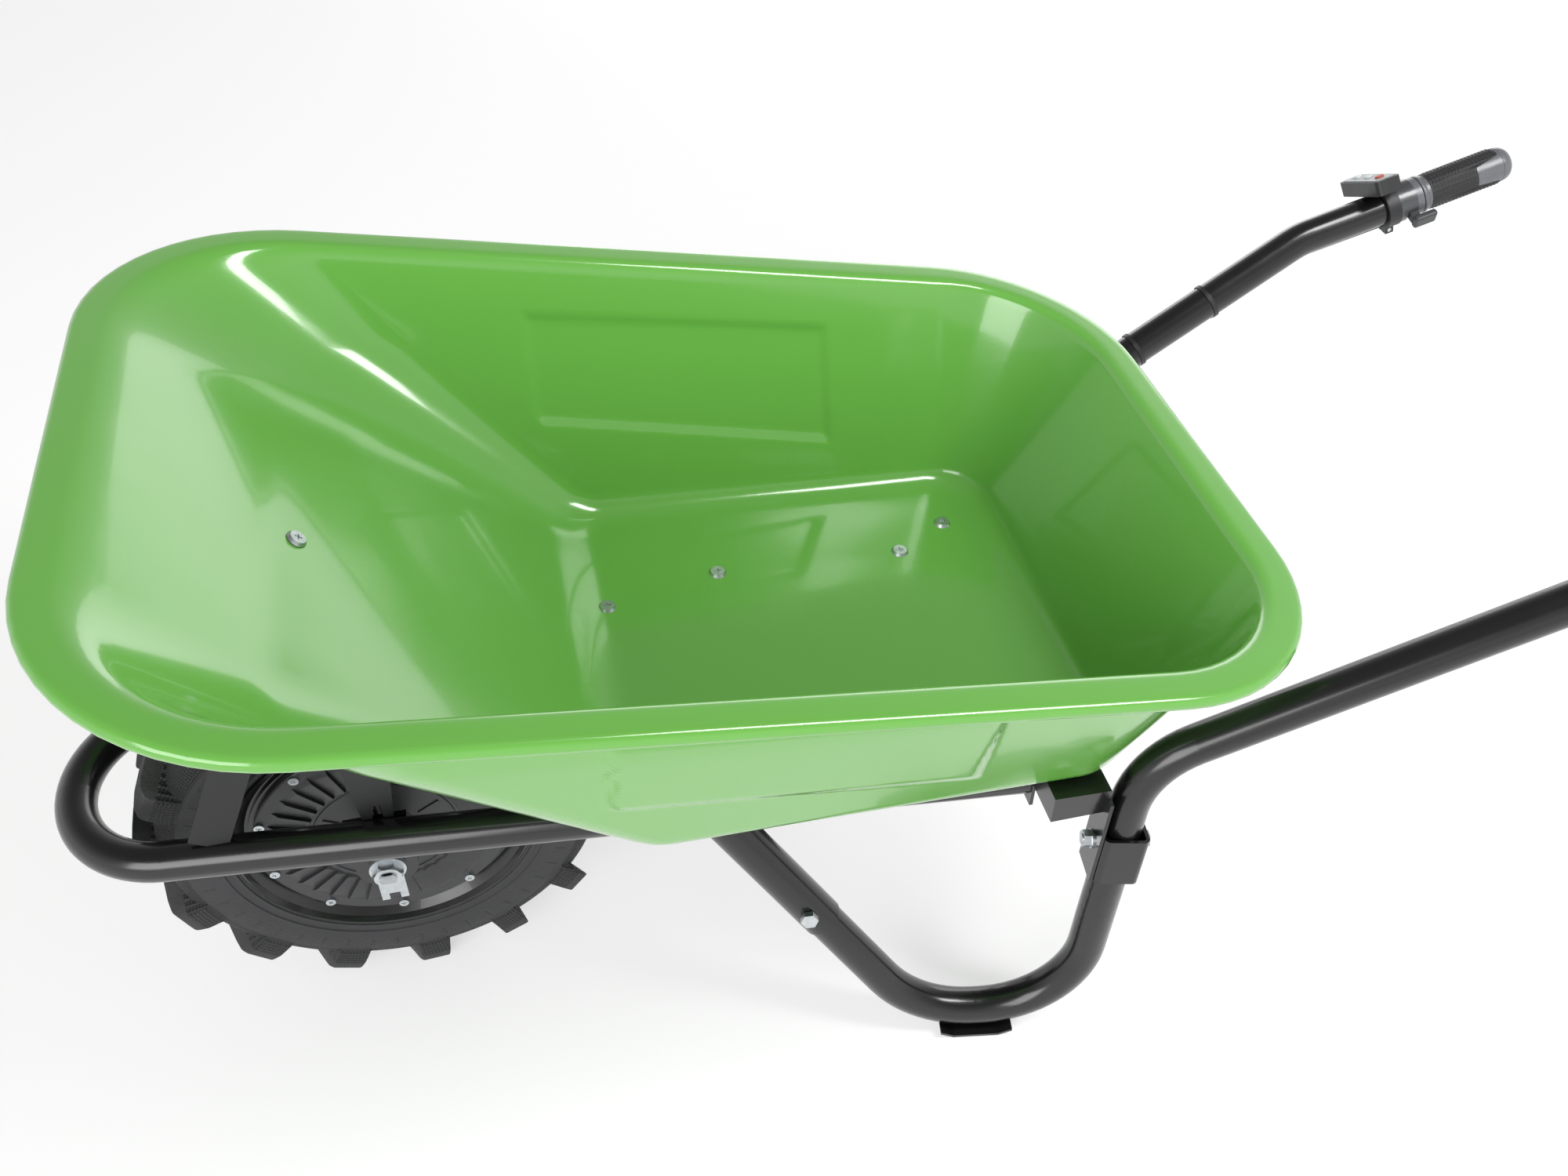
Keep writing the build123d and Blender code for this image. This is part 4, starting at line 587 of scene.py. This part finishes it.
# ---- Cables and ties -------------------------------------------------------
# PVC-sheathed motor lead and control lead, held along the frame by nylon
# ties. The sheath has a dull, slightly waxy skin.
sheath = cloudy("black_pvc_sheath", "#151516", "#1E1E1F", 0.48, 11.0, 1.3, 0.06)
coat(["motor_cable", "control_cable"], sheath)
nylon = cloudy("black_nylon_tie", "#1A1A1A", "#242424", 0.42, 6.0, 1.0, 0.05)
coat(["cable_ties"], nylon)

# ---- Battery box -----------------------------------------------------------
# Moulded door, dock and battery cases in ABS with a sparked texture, an
# extruded aluminium controller and a red rocker switch.
sparked_abs = cloudy("sparked_black_abs", "#1C1C1E", "#262628", 0.5, 16.0, 1.2, 0.16)
coat(["box_door", "battery_packs", "power_switch_frame"], sparked_abs)
dock_abs = cloudy("sparked_grey_abs", "#4A4C4F", "#56585B", 0.48, 16.0, 1.2, 0.14)
coat(["battery_dock"], dock_abs)
extrusion = cloudy("anodised_aluminium_extrusion", "#9DA1A5", "#84888C", 0.36, 20.0, 1.0, 0.06,
                   Metallic=1.0)
coat(["motor_controller"], extrusion)
red_key = cloudy("red_polycarbonate_rocker", "#A5161A", "#8C1216", 0.26, 7.0, 1.4, 0.03)
coat(["power_rocker"], red_key)

# ---- Control pod and throttle ----------------------------------------------
# A dark grey moulded pod on a split clamp, with a pale printed film on its
# face and three soft keys. The throttle is a gloss grey cup over a dark lever.
pod_abs = cloudy("dark_grey_pod_abs", "#1E1E20", "#262628", 0.42, 14.0, 1.0, 0.1)
coat(["control_housing"], pod_abs)
film = cloudy("pale_printed_film", "#969A9B", "#878C8D", 0.38, 9.0, 1.2, 0.03)
coat(["control_face"], film)
soft_key = cloudy("pale_silicone_key", "#D4D7D8", "#BFC4C6", 0.5, 3.0, 1.0, 0.05)
coat(["button_down", "button_reverse"], soft_key)
red_silicone = cloudy("red_silicone_key", "#C0584C", "#A9463C", 0.5, 3.0, 1.0, 0.05)
coat(["button_up"], red_silicone)
cup_grey = cloudy("gloss_grey_throttle_cup", "#3D3F41", "#484A4C", 0.24, 10.0, 1.3, 0.04,
                  Coat_Weight=0.3)
coat(["throttle_housing"], cup_grey)
lever_abs = cloudy("dark_lever_nylon", "#333436", "#3F4042", 0.4, 8.0, 1.1, 0.08)
coat(["throttle_lever"], lever_abs)

# ---- Grips -----------------------------------------------------------------
# A grey moulded sleeve with a domed end, and a soft black pad over it with
# wavy ribs. The pad ends in two tongues, above and below the grip.
grip_grey = cloudy("grey_grip_sleeve", "#5E5F63", "#68696D", 0.26, 12.0, 1.4, 0.04)
coat(["throttle_collar"], grip_grey)
soft_black = cloudy("soft_black_grip_rubber", "#1C1C1E", "#2A2A2C", 0.55, 6.0, 0.9, 0.08)
RISE = Vector((1, 0, 0.294)).normalized()  # along a grip, upwards to its end
OVER = Vector((-RISE.z, 0, RISE.x))
GRIP_X, GRIP_Y, GRIP_Z = 1003, 245, 503.93
# a sleeve's section: the collar at its start, then the domed end, which is the
# same on both; radius and distance along the grip in millimetres
COLLAR = [(11.1, 0), (18.0, 0), (18.2, 0.6), (18.2, 2.6), (17.6, 3.4), (16.5, 4.6)]
DOME = [(16.5, 117.4), (16.1, 117.7), (16.1, 118.3), (16.5, 118.6), (16.3, 121.2), (15.5, 124),
        (14, 126.4), (11.6, 128.4), (8.4, 129.5), (4.4, 129.9), (0, 130), (0, 122), (11.1, 122)]
SLEEVE_STEPS = 72
# the pad: its end, and two tongues that reach further, one each side of the
# grip's axis; the ribs' sizes in millimetres, their waves and their notches
PAD_END, TONGUE_REACH, TONGUE = 92, 24, radians(70)
PAD_R, RIB_HEIGHT, RIB_PITCH, RIB_WAVE, WAVES, NOTCHES, NOTCH = 16.9, 0.95, 3.5, 0.9, 6, 26, 0.38
FADES = 25


def on_grip(shoulder, radius, along, turn=0.0):
    """A place on a grip that starts at its shoulder: radius and distance along it in
    millimetres, turn from sideways to up."""
    out = Vector((0, cos(turn), 0)) + OVER * sin(turn)
    return shoulder + (out * radius + RISE * along) / 1000


for name, side, start, pad_start in (("left", -1, 2, 14), ("right", 1, 38, 46)):
    shoulder = at(GRIP_X, GRIP_Y * side, GRIP_Z)
    bm = bmesh.new()
    sleeve = [(r, start + s) for r, s in COLLAR] + DOME
    line, edges = closed_line(bm, [on_grip(shoulder, r, s) for r, s in sleeve])
    spin_round(bm, edges, shoulder, RISE, SLEEVE_STEPS)
    core = new_piece("grip_sleeve_" + name, bm, "chassis", grip_grey)
    crease(core, 40)
    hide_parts("grip_core_" + name)
    bm = bmesh.new()
    bmesh.ops.create_grid(bm, x_segments=132, y_segments=190, size=0.5)
    for vert in bm.verts:
        turn, share = (vert.co.x + 0.5) * 2 * pi, vert.co.y + 0.5
        end = PAD_END + TONGUE_REACH * ease((abs(cos(turn - TONGUE)) - 0.5) / 0.3)
        along = blend_line(pad_start, end, share)
        fade = min(1.0, share * FADES, (1 - share) * FADES)
        rib = 0.5 + 0.5 * sin(2 * pi * (along + RIB_WAVE * sin(WAVES * turn)) / RIB_PITCH)
        notched = 1 - NOTCH + NOTCH * cos(NOTCHES * turn)
        vert.co = on_grip(shoulder, PAD_R + RIB_HEIGHT * fade * rib * notched, along, turn)
    bmesh.ops.remove_doubles(bm, verts=bm.verts, dist=0.00001)
    bm.faces.ensure_lookup_table()
    probe = bm.faces[len(bm.faces) // 2]
    middle = shoulder + RISE * (probe.calc_center_median() - shoulder).dot(RISE)
    if probe.normal.dot(probe.calc_center_median() - middle) < 0:
        bmesh.ops.reverse_faces(bm, faces=bm.faces)
    pad = new_piece("grip_pad_ribbed_" + name, bm, "chassis", soft_black)
    thicken(pad, "wall", 0.0007)
    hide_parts("grip_pad_" + name)

bpy.context.view_layer.update()
